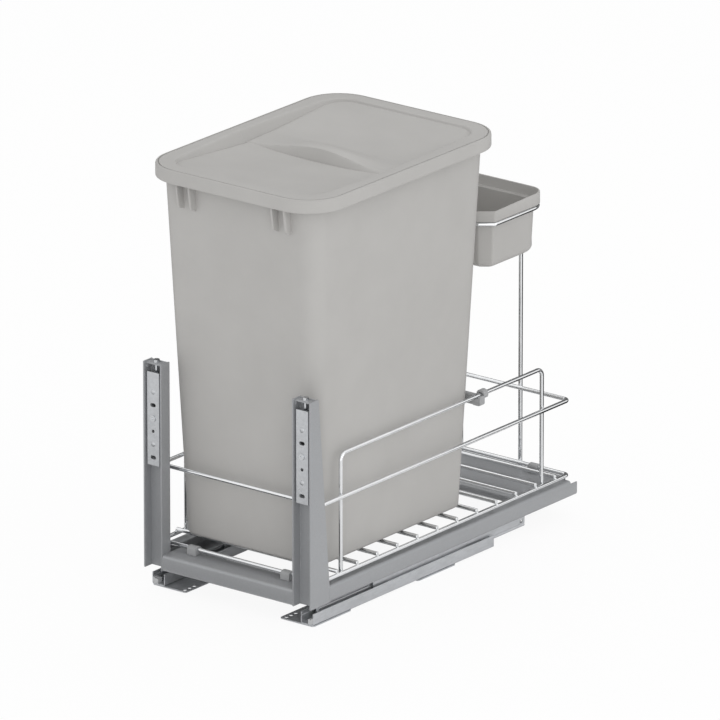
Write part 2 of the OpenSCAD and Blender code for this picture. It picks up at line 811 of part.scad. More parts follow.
// Uprights with a recess that takes the door bracket
module upright() {
    gusset = [
        [front_y, frame_z], [front_y + gusset_d, frame_z], [front_y + gusset_d, frame_top],
        [front_y + upright_d, upright_top], [front_y, upright_top]
    ];
    slot = screw_d + 2 * slide_play;
    reach = adjust_travel + slide_play;
    color(painted)
        difference() {
            union() {
                translate([upright_x0, front_y, frame_z])
                    cube([upright_t, upright_d, upright_h]);
                translate([upright_x0, web_y0, frame_z])
                    cube([upright_w, upright_t, upright_h]);
                along_x(half_w - upright_t, half_w)
                    polygon(gusset);
            }
            for (s = [-1, 1])
                rod_y(bracket_x, web_y0 - 1, web_y1 + 1, clamp_z + s * reach, slot);
            translate([bracket_x - slot / 2, web_y0 - 1, clamp_z - reach])
                cube([slot, upright_t + 2, 2 * reach]);
        }
}

module left_upright() { left() upright(); }
module right_upright() { upright(); }

module adjuster_block() {
    y0 = slider_y0 + slide_play;
    color(zinc)
        difference() {
            translate([recess_x0, y0, block_z0])
                cube([recess_x1 - recess_x0, web_y0 - y0, block_h]);
            rod_z(bracket_x, adjuster_y, block_z0 - 1, block_z1 + 1, screw_d + 2 * hole_play);
        }
}

module left_adjuster_block() { left() adjuster_block(); }
module right_adjuster_block() { adjuster_block(); }

module adjuster_screw() {
    z1 = block_z1 + adjuster_head_h;
    slot_depth = adjuster_head_h / 2;
    color(bearing)
        difference() {
            union() {
                rod_z(bracket_x, adjuster_y, block_z1 - adjuster_l, block_z1, screw_d);
                rod_z(bracket_x, adjuster_y, block_z1, z1, head_d);
            }
            translate([bracket_x - head_d, adjuster_y - 0.5, z1 - slot_depth])
                cube([2 * head_d, 1, slot_depth + 1]);
        }
}

module left_adjuster_screw() { left() adjuster_screw(); }
module right_adjuster_screw() { adjuster_screw(); }

// Holes that run through the bracket plate and the slider behind it
module bracket_holes(y0, y1) {
    for (z = [lower_slot_z, upper_slot_z]) {
        reach = (slot_l - slot_w) / 2;
        for (s = [-1, 1])
            rod_y(bracket_x + s * reach, y0, y1, z, slot_w);
        translate([bracket_x - reach, y0, z - slot_w / 2])
            cube([2 * reach, y1 - y0, slot_w]);
    }
    rod_y(bracket_x, y0, y1, pilot_z, pilot_d);
    for (z = [lower_rivet_z, clamp_z, upper_rivet_z])
        rod_y(bracket_x, y0, y1, z, screw_d + 2 * hole_play);
}

module door_plate() {
    color(zinc)
        difference() {
            translate([bracket_x - bracket_w / 2, bracket_y, bracket_z0])
                cube([bracket_w, bracket_t, bracket_h]);
            bracket_holes(bracket_y - 1, slider_y0 + 1);
        }
}

module left_door_plate() { left() door_plate(); }
module right_door_plate() { door_plate(); }

module slider() {
    x = slider_w / 2 - slider_t / 2;
    y0 = slider_y0 + slider_t / 2;
    path = [[-x, slider_y1], [-x, y0], [x, y0], [x, slider_y1]];
    color(zinc)
        difference() {
            union() {
                along_z(slider_z0, slider_z1)
                    translate([bracket_x, 0])
                        polygon(sheet_outline(path, slider_t, rail_bend));
                translate([bracket_x - x, y0, slider_z1 - slider_t])
                    cube([2 * x, slider_y1 - y0, slider_t]);
            }
            bracket_holes(slider_y0 - 1, slider_y0 + slider_t + 1);
            rod_z(bracket_x, adjuster_y, slider_z1 - slider_t - 1, slider_z1 + 1, screw_d + 2 * slide_play);
        }
}

module left_slider() { left() slider(); }
module right_slider() { slider(); }

// A domed head on the door side of a plate, on a shank that reaches back to y1
module plate_fastener(z, y1, dome) {
    r = (head_d * head_d / 4 + head_h * head_h) / (2 * head_h);
    rod_y(bracket_x, bracket_y, y1, z, screw_d);
    if (dome)
        intersection() {
            translate([bracket_x, bracket_y - head_h + r, z])
                sphere(r = r);
            rod_y(bracket_x, bracket_y - head_h - 1, bracket_y, z, head_d + 1);
        }
    else
        rod_y(bracket_x, bracket_y - head_h, bracket_y, z, head_d);
}

module plate_rivets() {
    color(bearing)
        for (z = [lower_rivet_z, upper_rivet_z]) {
            plate_fastener(z, slider_y0 + slider_t, true);
            rod_y(bracket_x, slider_y0 + slider_t, slider_y0 + slider_t + head_h, z, head_d);
        }
}

module left_plate_rivets() { left() plate_rivets(); }
module right_plate_rivets() { plate_rivets(); }

module clamp_screw() {
    drive_d = screw_d - 1;
    color(bearing)
        difference() {
            plate_fastener(clamp_z, web_y1 + nut_play + nut_h, false);
            translate([bracket_x, bracket_y, clamp_z])
                rotate([90, 0, 0])
                    cylinder(h = head_h + 1, d = drive_d, $fn = 6);
        }
}

module left_clamp_screw() { left() clamp_screw(); }
module right_clamp_screw() { clamp_screw(); }

module clamp_nut() {
    y0 = web_y1 + nut_play;
    color(bearing)
        difference() {
            translate([bracket_x, y0 + nut_h, clamp_z])
                rotate([90, 0, 0])
                    cylinder(h = nut_h, d = nut_w / cos(30), $fn = 6);
            rod_y(bracket_x, y0 - 1, y0 + nut_h + 1, clamp_z, screw_d + 2 * hole_play);
        }
}

module left_clamp_nut() { left() clamp_nut(); }
module right_clamp_nut() { clamp_nut(); }

// Wire basket: rim, cross wires, guard and hoops
rim_corners = [[rim_x, rim_y0], [rim_x, rim_y1], [-rim_x, rim_y1], [-rim_x, rim_y0]];
rim_bends = [for (corner = rim_corners) rim_bend];

module rim_wire() {
    color(chrome)
        translate([0, 0, rim_z])
            bent_wire(rim_corners, rim_bends, true);
}

module cross_wires() {
    color(chrome)
        for (i = [0 : cross_count - 1])
            rod_x(-rim_x, rim_x, front_y + cross_first + i * cross_pitch, cross_z, wire_d);
}

module guard_wire() {
    color(chrome)
        translate([0, 0, guard_z])
            bent_wire(rim_corners, rim_bends, true);
}

module hoop() {
    foot_z = rim_z - wire_d / 2;
    corners = [[hoop_y0, foot_z], [hoop_y0, hoop_z], [hoop_y1, hoop_z], [hoop_y1, foot_z]];
    color(chrome)
        translate([hoop_x, 0, 0])
            rotate([90, 0, 90])
                bent_wire(corners, [0, hoop_bend, hoop_bend, 0], false);
}

module left_hoop() { left() hoop(); }
module right_hoop() { hoop(); }

// Two posts behind the basket, welded to the open ring that carries the tray
module tray_stand() {
    x = tray_half_w - ring_overhang;
    y0 = tray_y0 + ring_overhang;
    c = tray_chamfer - ring_overhang * 2 / 3;
    end = post_x - wire_d;
    ring = [
        [end, ring_y1], [x, ring_y1], [x, y0 + 0.75 * c], [x - c, y0],
        [c - x, y0], [-x, y0 + 0.75 * c], [-x, ring_y1], [-end, ring_y1]
    ];
    bends = [0, ring_corner, stand_bend, stand_bend, stand_bend, stand_bend, ring_corner, 0];
    color(chrome) {
        translate([0, 0, ring_z])
            bent_wire(ring, bends, false);
        both_sides()
            rod_z(post_x, post_y, frame_top, ring_z + wire_d / 2, wire_d);
    }
}

// Plastic clips that hold the rim wire down on the front bar and the rear plate
module clip_pair(wire_y) {
    top = rim_z + wire_d / 2 + clip_wall;
    color(clip_grey)
        both_sides()
            difference() {
                translate([clip_x - clip_w / 2, wire_y - clip_d / 2, frame_top])
                    cube([clip_w, clip_d, top - frame_top]);
                rod_x(clip_x - clip_w, clip_x + clip_w, wire_y, rim_z, wire_d + 2 * hole_play);
            }
}

module front_clips() { clip_pair(rim_y0); }
module rear_clips() { clip_pair(rim_y1); }

// Bar across the hoops that stops the bin from sliding back
module stop_bar() {
    bore = wire_d + 2 * slide_play;
    outer = bore + 2 * stop_wall;
    y0 = stop_y0 - stop_lead;
    z0 = hoop_z - wire_d / 2 - stop_jaw;
    color(clip_grey)
        difference() {
            union() {
                translate([-hoop_x, stop_y0, stop_z1 - stop_h])
                    cube([2 * hoop_x, stop_t, stop_h]);
                both_sides() {
                    rod_y(hoop_x, y0, y0 + stop_clip_l, hoop_z, outer);
                    translate([hoop_x - outer / 2, y0, z0])
                        cube([outer, stop_clip_l, hoop_z - z0]);
                }
            }
            both_sides() {
                rod_y(hoop_x, y0 - 1, y0 + stop_clip_l + 1, hoop_z, bore);
                translate([hoop_x - stop_mouth / 2, y0 - 1, z0 - stop_h])
                    cube([stop_mouth, stop_clip_l + 2, hoop_z - z0 + stop_h]);
            }
        }
}

// Tapered bin: wall, base with a round edge, rim lip and front ribs
module bin_level(z, x, y0, y1, r) {
    translate([0, 0, z])
        linear_extrude(0.01)
            polygon(round_rect(x, y0, y1, r));
}

function bin_x(z) = bin_base_x + side_draft * (z - bin_z0);
function bin_y0(z) = bin_base_y0 - end_draft * (z - bin_z0);
function bin_y1(z) = bin_base_y1 + end_draft * (z - bin_z0);
function bin_r(z) = bin_corner + (bin_top_corner - bin_corner) * (z - bin_z0) / bin_h;

module bin_slice(z, inset) {
    bin_level(z, bin_x(z) - inset, bin_y0(z) + inset, bin_y1(z) - inset, max(bin_r(z) - inset, 1));
}

// Solid bin form from z0 to z1, shrunk by inset, with a round lower edge
module bin_form(z0, z1, inset, edge) {
    fall = edge * (1 - cos(45));
    hull() {
        bin_slice(z1 - 0.01, inset);
        bin_slice(z0 + edge, inset);
        bin_slice(z0 + fall, inset + fall);
        bin_slice(z0, inset + edge);
    }
}

module bin() {
    lip_x = bin_top_x + bin_lip_w;
    lip_y0 = bin_top_y0 - bin_lip_w;
    lip_y1 = bin_top_y1 + bin_lip_w;
    color(bin_grey)
        difference() {
            union() {
                bin_form(bin_z0, bin_z1, 0, bin_foot_r);
                along_z(bin_z1 - bin_lip_t, bin_z1)
                    polygon(round_rect(lip_x, lip_y0, lip_y1, lip_corner));
                for (side = [-1, 1], k = [0, 1])
                    bin_rib(side * (rib_x + k * rib_pair));
            }
            bin_form(bin_z0 + bin_wall, bin_z1 + 1, bin_wall, bin_foot_r - bin_wall / 2);
        }
}

module bin_rib(x) {
    z1 = bin_z1 - bin_lip_t;
    z0 = z1 - rib_h;
    y1 = bin_y0(z0) + bin_wall / 2;
    outline = [
        [y1, z0], [y1, z1], [bin_y0(z1) - rib_d, z1],
        [bin_y0(z0 + 4) - rib_d / 3, z0 + 4], [bin_y0(z0), z0]
    ];
    along_x(x - rib_t / 2, x + rib_t / 2)
        polygon(outline);
}

// Lid with a skirt, a recessed top that falls to a valley, and an arched handle
function recess_line(drop) = [
    [lid_y0 + border_end, lid_z1 - recess_end - drop],
    [arch_y0, lid_z1 - valley_depth - drop],
    [arch_y0 + arch_t / 2, lid_z1 - valley_depth - drop],
    [lid_y1 - border_end, lid_z1 - recess_end - drop]
];

module lid() {
    x = lid_x - border_w;
    color(bin_grey) {
        difference() {
            along_z(lid_z0, lid_z1)
                polygon(round_rect(lid_x, lid_y0, lid_y1, lid_corner));
            lid_hollow();
            intersection() {
                along_x(-x, x)
                    polygon(concat(recess_line(0), [[lid_y1, lid_z1 + 1], [lid_y0, lid_z1 + 1]]));
                along_z(lid_z0 - 1, lid_z1 + 1)
                    polygon(round_rect(x, lid_y0 + border_end, lid_y1 - border_end, recess_corner));
            }
        }
        lid_handle(x);
    }
}

// Space under the lid, up to the underside of its border and of its sloping recess
module lid_hollow() {
    x = lid_x - border_w + bin_wall;
    y0 = lid_y0 + border_end;
    y1 = lid_y1 - border_end;
    t = bin_wall;
    difference() {
        along_z(lid_z0 - valley_depth, bin_z1)
            polygon(round_rect(lid_x - t, lid_y0 + t, lid_y1 - t, lid_corner - t));
        intersection() {
            along_x(-x, x)
                polygon(concat(recess_line(t), [[y1, lid_z1], [y0, lid_z1]]));
            along_z(lid_z0 - valley_depth - 1, lid_z1)
                polygon(round_rect(x, y0 - t, y1 + t, recess_corner + t));
        }
    }
}

// Handle across the valley: upright in front, arched on top, sloping into the rear panel
module lid_handle(x) {
    z0 = lid_z1 - valley_depth - bin_wall / 2;
    z1 = z0 + bin_wall / 2 + arch_rise;
    steps = 24;
    wave = [for (i = [0 : steps]) [x - 2 * x * i / steps, z1 - arch_rise * (1 + cos(360 * i / steps)) / 2]];
    intersection() {
        along_y(arch_y0, arch_y0 + 3 * arch_t)
            polygon(concat(wave, [[-x, z0], [x, z0]]));
        along_x(-x, x)
            polygon([[arch_y0, z0], [arch_y0 + 1.6 * arch_t, z0], [arch_y0 + arch_t / 2, z1], [arch_y0, z1]]);
    }
}

// Small tray behind the bin: rim band on the ring, tapered body below
module tray_slice(z, inset) {
    translate([0, 0, z])
        linear_extrude(0.01)
            polygon(tray_outline(inset, ring_corner - inset / 2));
}

// The tray's body from z0 upwards, shrunk by inset, with a round lower edge
module tray_form(z0, z1, inset) {
    low = inset + tray_draft;
    edge = tray_foot_r;
    hull() {
        tray_slice(z1, inset);
        tray_slice(z0 + edge, low);
        tray_slice(z0 + 0.3 * edge, low + 0.3 * edge);
        tray_slice(z0, low + edge);
    }
}

module tray() {
    color(bin_grey)
        difference() {
            union() {
                along_z(band_z0, band_z1)
                    polygon(tray_outline(0, tray_corner));
                tray_form(tray_z0, band_z0, tray_inset);
            }
            along_z(band_z0 + tray_wall, band_z1 + 1)
                polygon(tray_outline(tray_wall, tray_corner - tray_wall));
            tray_form(tray_z0 + tray_wall, band_z0 + tray_wall + 0.1, tray_inset + tray_wall);
        }
}

left_cabinet_rail();
right_cabinet_rail();
left_front_foot();
left_rear_foot();
right_front_foot();
right_rear_foot();
left_foot_rivets();
right_foot_rivets();
left_bumper();
right_bumper();
left_middle_rail();
right_middle_rail();
left_lower_cage();
right_lower_cage();
left_lower_balls();
right_lower_balls();
left_upper_cage();
right_upper_cage();
left_upper_balls();
right_upper_balls();
left_runner();
right_runner();
left_runner_screws();
right_runner_screws();
left_side_rail();
right_side_rail();
front_bar();
rear_plate();
left_upright();
right_upright();
left_adjuster_block();
right_adjuster_block();
left_adjuster_screw();
right_adjuster_screw();
left_door_plate();
right_door_plate();
left_slider();
right_slider();
left_plate_rivets();
right_plate_rivets();
left_clamp_screw();
right_clamp_screw();
left_clamp_nut();
right_clamp_nut();
rim_wire();
cross_wires();
guard_wire();
left_hoop();
right_hoop();
tray_stand();
front_clips();
rear_clips();
stop_bar();
bin();
lid();
tray();
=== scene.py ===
# %% [markdown]
# # A pull-out bin on its frame
# This lesson dresses a waste bin that rolls out of a kitchen base cabinet. The steel frame, the
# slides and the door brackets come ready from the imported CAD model. We add the photograph's camera
# and a pale studio, give each finish a material of its own, and model the pieces with soft edges
# again as smooth surfaces: the bin, its lid, the tray, the wires and the plastic clips.

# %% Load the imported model
import json
import math

import bmesh
import bpy
import numpy as np
from mathutils import Matrix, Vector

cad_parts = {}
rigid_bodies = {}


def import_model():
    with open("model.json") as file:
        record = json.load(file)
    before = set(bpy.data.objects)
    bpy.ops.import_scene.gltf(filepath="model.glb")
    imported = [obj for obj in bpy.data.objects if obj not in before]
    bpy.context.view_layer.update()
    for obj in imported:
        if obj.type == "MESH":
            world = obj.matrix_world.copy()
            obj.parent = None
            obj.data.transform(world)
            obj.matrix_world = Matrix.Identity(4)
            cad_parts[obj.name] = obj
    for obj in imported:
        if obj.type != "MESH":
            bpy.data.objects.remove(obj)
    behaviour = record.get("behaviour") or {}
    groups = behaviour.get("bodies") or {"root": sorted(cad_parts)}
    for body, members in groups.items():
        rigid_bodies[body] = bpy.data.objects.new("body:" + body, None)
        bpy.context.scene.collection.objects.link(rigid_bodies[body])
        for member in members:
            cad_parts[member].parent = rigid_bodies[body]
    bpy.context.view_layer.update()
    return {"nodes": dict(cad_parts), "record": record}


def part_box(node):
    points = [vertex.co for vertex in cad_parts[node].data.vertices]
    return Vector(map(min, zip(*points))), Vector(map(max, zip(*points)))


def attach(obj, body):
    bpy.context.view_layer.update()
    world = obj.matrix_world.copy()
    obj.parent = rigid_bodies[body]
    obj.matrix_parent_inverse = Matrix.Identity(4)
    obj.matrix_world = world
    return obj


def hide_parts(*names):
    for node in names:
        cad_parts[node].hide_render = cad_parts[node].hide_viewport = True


for leftover in list(bpy.data.objects):
    bpy.data.objects.remove(leftover)
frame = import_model()
scene, mm = bpy.context.scene, 0.001


def box_of(name):
    """The low and the high corner of a CAD node's box, in millimetres."""
    return np.array([list(corner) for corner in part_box(name)]) / mm


def placed(data):
    """A new object in the scene for a mesh, a lamp or a lens."""
    made = bpy.data.objects.new(data.name, data)
    scene.collection.objects.link(made)
    return made


# %% [markdown]
# ## The camera
# The photograph is taken from the right front, a little above, through a very long lens: edges that
# run back stay almost parallel. We could look for the view by eye. Instead the angles, the distance
# and the lens were solved from the frame's straight edges, so the render lies on the photograph.

# %% Camera at the photograph's angle
azimuth, elevation = math.radians(37.886), math.radians(18.896)
front_middle = np.array([0.0, -0.255, 0.024])
to_right, to_top, distance = 0.15401, 0.26465, 15.015


def pose_of(axes, point):
    """The pose of an object that stands at a point and has these axes."""
    pose = np.eye(4)
    pose[:3, :3], pose[:3, 3] = np.stack(axes, 1), point
    return Matrix(pose.tolist())


right = np.array([math.cos(azimuth), math.sin(azimuth), 0.0])
flat = np.array([math.sin(azimuth), -math.cos(azimuth), 0.0])
back = flat * math.cos(elevation) + np.array([0.0, 0.0, math.sin(elevation)])
up = np.cross(back, right)
stand_point = front_middle + to_right * right + to_top * up + distance * back

lens = bpy.data.cameras.new("photo_camera")
lens.sensor_width, lens.lens, lens.clip_end = 36.0, 648.95, 60.0
scene.camera = placed(lens)
scene.camera.matrix_world = pose_of([right, up, back], stand_point)
print("camera stands at", stand_point.round(2).tolist())

# %% [markdown]
# ## Shader sums in plain Python
# A material is a net of nodes. Wiring each node by hand hides the idea, so one small class wraps a
# socket: adding or multiplying two of them adds the Math node, and one method adds any other node
# with its settings and inputs.

# %% The socket class
class Socket:
    """One output in a node tree. Sums and products of sockets add the Math nodes for them."""

    def __init__(self, tree, out=None):
        self.tree, self.out = tree, out

    def node(self, kind, settings=None, inputs=None, out=0):
        """Adds any node: its settings first, then a number or a link for each named socket."""
        made = self.tree.nodes.new(kind)
        for key, value in (settings or {}).items():
            setattr(made, key, value)
        for key, value in (inputs or {}).items():
            if isinstance(value, Socket):
                self.tree.links.new(value.out, made.inputs[key])
            else:
                made.inputs[key].default_value = value
        return Socket(self.tree, made.outputs[out] if made.outputs else None)

    def math(self, operation, first, second):
        return self.node("ShaderNodeMath", {"operation": operation}, {0: first, 1: second})

    def __add__(self, other):
        return self.math("ADD", self, other)

    def __sub__(self, other):
        return self.math("SUBTRACT", self, other)

    def __rsub__(self, other):
        return self.math("SUBTRACT", other, self)

    def __mul__(self, other):
        return self.math("MULTIPLY", self, other)

    __radd__, __rmul__ = __add__, __mul__

    def between(self, low, high):
        """0 below low, 1 above high, with a smooth step from one to the other."""
        smooth = {"interpolation_type": "SMOOTHSTEP"}
        return self.node("ShaderNodeMapRange", smooth, {0: self, 1: low, 2: high})

    def colours(self, first, second):
        """The first colour where this value is 0, the second where it is 1."""
        inputs = {0: self, 6: first, 7: second}
        return self.node("ShaderNodeMix", {"data_type": "RGBA"}, inputs, out=2)


# %% [markdown]
# Every pattern here is placed in metres on the object itself, so it stays where it is from every
# side. Noise with a feature size in millimetres serves for clouds, grain, brush lines and
# scratches: only its size, its stretch and the cut that is taken from it change.

# %% Pattern helpers
def tone(red, green, blue):
    """A screen colour from 0 to 255 as the linear colour that a shader wants."""
    share = np.array([red, green, blue]) / 255.0
    linear = np.where(share <= 0.04045, share / 12.92, ((share + 0.055) / 1.055) ** 2.4)
    return (*linear.tolist(), 1.0)


def grey(value):
    """A neutral colour of that brightness."""
    return (value, value, value, 1.0)


def pattern_place(spot, size_mm, stretch):
    """Place and scale for features of about size_mm; stretch makes them longer along an axis."""
    scale = tuple(1.0 / s for s in stretch)
    drawn_out = spot.node("ShaderNodeMapping", inputs={"Vector": spot, "Scale": scale})
    return {"Vector": drawn_out, "Scale": 1.0 / (size_mm * mm)}


def noise(spot, size_mm, detail=2.0, stretch=(1.0, 1.0, 1.0)):
    """Smooth noise from 0 to 1."""
    inputs = {**pattern_place(spot, size_mm, stretch), "Detail": detail}
    return spot.node("ShaderNodeTexNoise", inputs=inputs)


def cells(spot, size_mm, stretch=(1.0, 1.0, 1.0)):
    """A random grey from 0 to 1 for each crystal-like cell."""
    colour = spot.node("ShaderNodeTexVoronoi", inputs=pattern_place(spot, size_mm, stretch), out=1)
    return spot.node("ShaderNodeSeparateColor", inputs={0: colour})


def bumped(height, depth_mm, strength=1.0):
    """The surface normal tilted by a height pattern of that depth."""
    inputs = {"Height": height, "Distance": depth_mm * mm, "Strength": strength}
    return height.node("ShaderNodeBump", inputs=inputs)


finishes = {}


def finish(name, build):
    """Makes a material and keeps it under its slot's name. Its surface is what build returns for
    the place of a point on the object, in metres."""
    material = bpy.data.materials.new(name)
    material.use_nodes = True
    material.node_tree.nodes.clear()
    surface = build(Socket(material.node_tree).node("ShaderNodeTexCoord", out="Object"))
    surface.node("ShaderNodeOutputMaterial", inputs={"Surface": surface})
    finishes[name] = material
    print("finish", name, "with", len(material.node_tree.nodes), "nodes")
    return material


# %% [markdown]
# ## Moulded plastic
# The bin, lid and tray are injection moulded in a warm light grey. The mould is eroded to a fine
# satin grain, the melt leaves very faint clouds in the colour, and use leaves hairline scuffs. A
# flat grey would look like paper, so grain goes to the bump, clouds to the colour, and scuffs to
# both colour and roughness.

# %% Bin, clip and bumper plastic
cloud_mm, scuff_mm, scuffed_mm = 70.0, 2.2, 45.0
scuff_tone, scuff_share = (0.80, 0.79, 0.78, 1.0), 0.16


def moulded(dark, light, grain_mm, dull):
    """Returns a build function for satin plastic between two close colours."""

    def build(spot):
        cloud = noise(spot, cloud_mm, 3.0)
        grain = noise(spot, grain_mm, 2.0)
        streak = noise(spot, scuff_mm, 4.0, stretch=(1.0, 1.0, 9.0))
        scuff = streak.between(0.68, 0.78) * noise(spot, scuffed_mm, 1.0).between(0.50, 0.70)
        body = (cloud * 0.75 + grain * 0.25).between(0.25, 0.75).colours(dark, light)
        return spot.node("ShaderNodeBsdfPrincipled", inputs={
            "Base Color": (scuff * scuff_share).colours(body, scuff_tone),
            "Roughness": dull - 0.10 * cloud + 0.12 * scuff,
            "Normal": bumped(grain, 0.05, 0.5),
            "IOR": 1.48,
            "Specular IOR Level": 0.3,
        })

    return build


finish("bin_plastic", moulded(tone(181, 179.5, 177), tone(187, 185.5, 183), 0.9, 0.52))
finish("clip_plastic", moulded(tone(163, 164, 165), tone(173, 174, 175), 0.7, 0.50))
finish("bumper_plastic", moulded(tone(190, 191, 192), tone(202, 203, 204), 0.7, 0.45))

# %% [markdown]
# ## Satin grey paint
# The folded frame is powder coated in silver grey. Powder melts into a skin with a faint orange
# peel, and it holds small aluminium flakes that catch the light one by one. The peel goes to the
# bump and the flakes to the colour.

# %% Painted steel
peel_mm, flake_mm, shade_mm, rub_mm = 1.8, 0.55, 120.0, 3.0


def satin_paint(spot):
    peel = noise(spot, peel_mm, 2.0)
    flake = cells(spot, flake_mm)
    cloud = noise(spot, shade_mm, 2.0)
    rub = noise(spot, rub_mm, 4.0, stretch=(1.0, 14.0, 1.0)).between(0.66, 0.80)
    skin = (flake * 0.6 + cloud * 0.4).colours(tone(155, 156.5, 159), tone(171, 172.5, 175))
    return spot.node("ShaderNodeBsdfPrincipled", inputs={
        "Base Color": (rub * 0.18).colours(skin, tone(196, 198, 200)),
        "Roughness": 0.44 - 0.10 * flake + 0.08 * cloud + 0.06 * rub,
        "Metallic": 0.25,
        "Normal": bumped(peel, 0.04, 0.35),
    })


finish("painted_steel", satin_paint)

# %% [markdown]
# ## Plated steel
# Rails, feet and door plates are zinc plated strip: bluish, with lines from the rolling mill along
# the strip and crystals that differ a little in brightness. A thin dull film lies on the zinc, so
# it is not quite bare metal. Screws are brighter, and balls are polished. One recipe serves them
# all: the base colour, the strength of the crystals, the lines and the gloss change.

# %% Zinc, bright and polished steel
mill_line_mm, stain_mm = 0.8, 38.0


def plated(dark, light, crystal_mm, crystals, lines, dull, bare=1.0):
    """Returns a build function for a plated metal between two close colours. Crystals and lines are
    their shares in the colour, and bare is the share of naked metal."""

    def build(spot):
        crystal = cells(spot, crystal_mm, stretch=(1.0, 2.5, 1.0))
        line = noise(spot, mill_line_mm, 2.0, stretch=(1.0, 60.0, 1.0))
        stain = noise(spot, stain_mm, 3.0)
        light_part = crystal * crystals + line * lines + stain * (1.0 - crystals - lines)
        return spot.node("ShaderNodeBsdfPrincipled", inputs={
            "Base Color": light_part.colours(dark, light),
            "Roughness": dull + 0.10 * stain + 0.06 * line - 0.05 * crystal,
            "Metallic": bare,
            "Normal": bumped(line, 0.01, 0.3),
        })

    return build


metals = {
    "zinc_steel": (tone(178, 180, 183), tone(217, 219, 222), 3.0, 0.20, 0.40, 0.26, 0.65),
    "bright_steel": (tone(186, 188, 191), tone(226, 228, 230), 1.5, 0.20, 0.30, 0.14),
    "polished_steel": (tone(205, 207, 210), tone(226, 228, 231), 1.0, 0.10, 0.20, 0.06),
}
for name, recipe in metals.items():
    finish(name, plated(*recipe))

# %% [markdown]
# ## Chrome wire
# The basket is drawn wire, welded and then chromed. Drawing leaves fine lines along the wire, and
# the bath leaves the chrome a trace milky in places. Each wire piece carries an attribute with the
# distance along its own line, so that marks run along the wire round every bend.

# %% Chrome wire finish
marks_per_metre, milk_mm, speck_mm = 60.0, 14.0, 0.6


def chromed(spot):
    along = spot.node("ShaderNodeAttribute", {"attribute_name": "along"}, out="Fac")
    inputs = {"W": along, "Scale": marks_per_metre, "Detail": 3.0}
    drawn = spot.node("ShaderNodeTexNoise", {"noise_dimensions": "1D"}, inputs)
    milk = noise(spot, milk_mm, 2.0)
    speck = noise(spot, speck_mm, 1.0).between(0.70, 0.76)
    plate = milk * 0.6 + drawn * 0.4
    return spot.node("ShaderNodeBsdfPrincipled", inputs={
        "Base Color": plate.colours(tone(224, 226, 228), tone(244, 245, 246)),
        "Roughness": 0.05 + 0.06 * milk + 0.04 * drawn + 0.10 * speck,
        "Metallic": 1.0,
        "Normal": bumped(speck, 0.02, 0.3),
    })


finish("chrome_wire", chromed)

# %% [markdown]
# ## Materials for the CAD nodes
# Rails, frame, brackets and fasteners keep their exact CAD shapes. The record names a material slot
# for each node, and the material of that slot goes into the object's own slot.

# %% Dress the CAD nodes
slot_of = {part["node"]: part["material_slot"] for part in frame["record"]["subparts"]}
for name, node in frame["nodes"].items():
    for place in node.material_slots:
        place.material = finishes[slot_of[name]]
print("dressed", len(slot_of), "CAD nodes in", len(set(slot_of.values())), "finishes")

# %% [markdown]
# ## Surfaces from arrays
# A new piece is a grid of points: one function of two parameters, worked out as whole numpy arrays.
# Lines of the grid become faces by index sums, several grids join into one mesh, points that meet
# are merged, and the faces are turned outwards. Only edges sharper than a set angle stay crisp.

# %% Grids and pieces
merge_gap, crisp_deg = 2e-6, 38.0


def grid(points, close_rows=False, close_columns=False):
    """Rows and columns of points as (points, face blocks); closing joins last line and first."""
    rows, columns = points.shape[:2]
    row = np.arange(rows if close_rows else rows - 1)
    column = np.arange(columns if close_columns else columns - 1)
    a, b = np.meshgrid(row, column, indexing="ij")
    c, d = (a + 1) % rows, (b + 1) % columns
    quads = np.stack([a * columns + b, c * columns + b, c * columns + d, a * columns + d], -1)
    return points.reshape(-1, 3), [quads.reshape(-1, 4)]


def loft(rings):
    """A skin over closed rings, shut at both ends by a point in the middle of the end ring."""
    rings = np.asarray(rings)
    ends = [np.broadcast_to(ring.mean(0), ring.shape) for ring in (rings[0], rings[-1])]
    return grid(np.concatenate([ends[0][None], rings, ends[1][None]]), close_columns=True)


def shown(mesh, slot, body, stands_for, crisp):
    """Puts a mesh on show, smooth but for edges over the crisp angle."""
    mesh.shade_smooth()
    mesh.set_sharp_from_angle(angle=math.radians(crisp))
    made = placed(mesh)
    mesh.materials.append(finishes[slot])
    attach(made, body)
    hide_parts(*stands_for)
    print("made", mesh.name, "with", len(mesh.polygons), "faces")
    return made


def piece(name, shapes, slot, body, stands_for, crisp=crisp_deg, along=None):
    """Joins shapes, given in millimetres, into one object that rides on a body and stands for CAD
    nodes. Along gives each point's distance along its wire."""
    clouds, face_blocks = zip(*shapes)
    starts = np.cumsum([0] + [len(points) for points in clouds])
    faces = []
    for start, blocks in zip(starts, face_blocks):
        for block in blocks:
            faces += (block + start).tolist()
    mesh = bpy.data.meshes.new(name)
    mesh.from_pydata((np.concatenate(clouds) * mm).tolist(), [], faces)
    if along is not None:
        gone = mesh.attributes.new("along", "FLOAT", "POINT")
        gone.data.foreach_set("value", np.concatenate(along) * mm)
    shell = bmesh.new()
    shell.from_mesh(mesh)
    bmesh.ops.remove_doubles(shell, verts=shell.verts, dist=merge_gap)
    bmesh.ops.dissolve_degenerate(shell, edges=shell.edges, dist=merge_gap / 2)
    bmesh.ops.recalc_face_normals(shell, faces=shell.faces)
    shell.to_mesh(mesh)
    shell.free()
    return shown(mesh, slot, body, stands_for, crisp)


# %% [markdown]
# ## Round edges on the steel
# Cut and folded strip never has a razor edge: the press, the plating and the paint leave it a
# little round, and that round catches a thin line of light. The CAD shapes are right, so each strip
# piece here is a copy of its CAD node. Its triangles are joined into whole faces, and a Bevel
# modifier rounds every edge that is sharper than 40 degrees. The rims of small holes stay out of
# it, because one bevel can't be wider than its smallest edge allows. The screw holes of the foot
# plates are dished instead, as pressed holes for countersunk screws are.

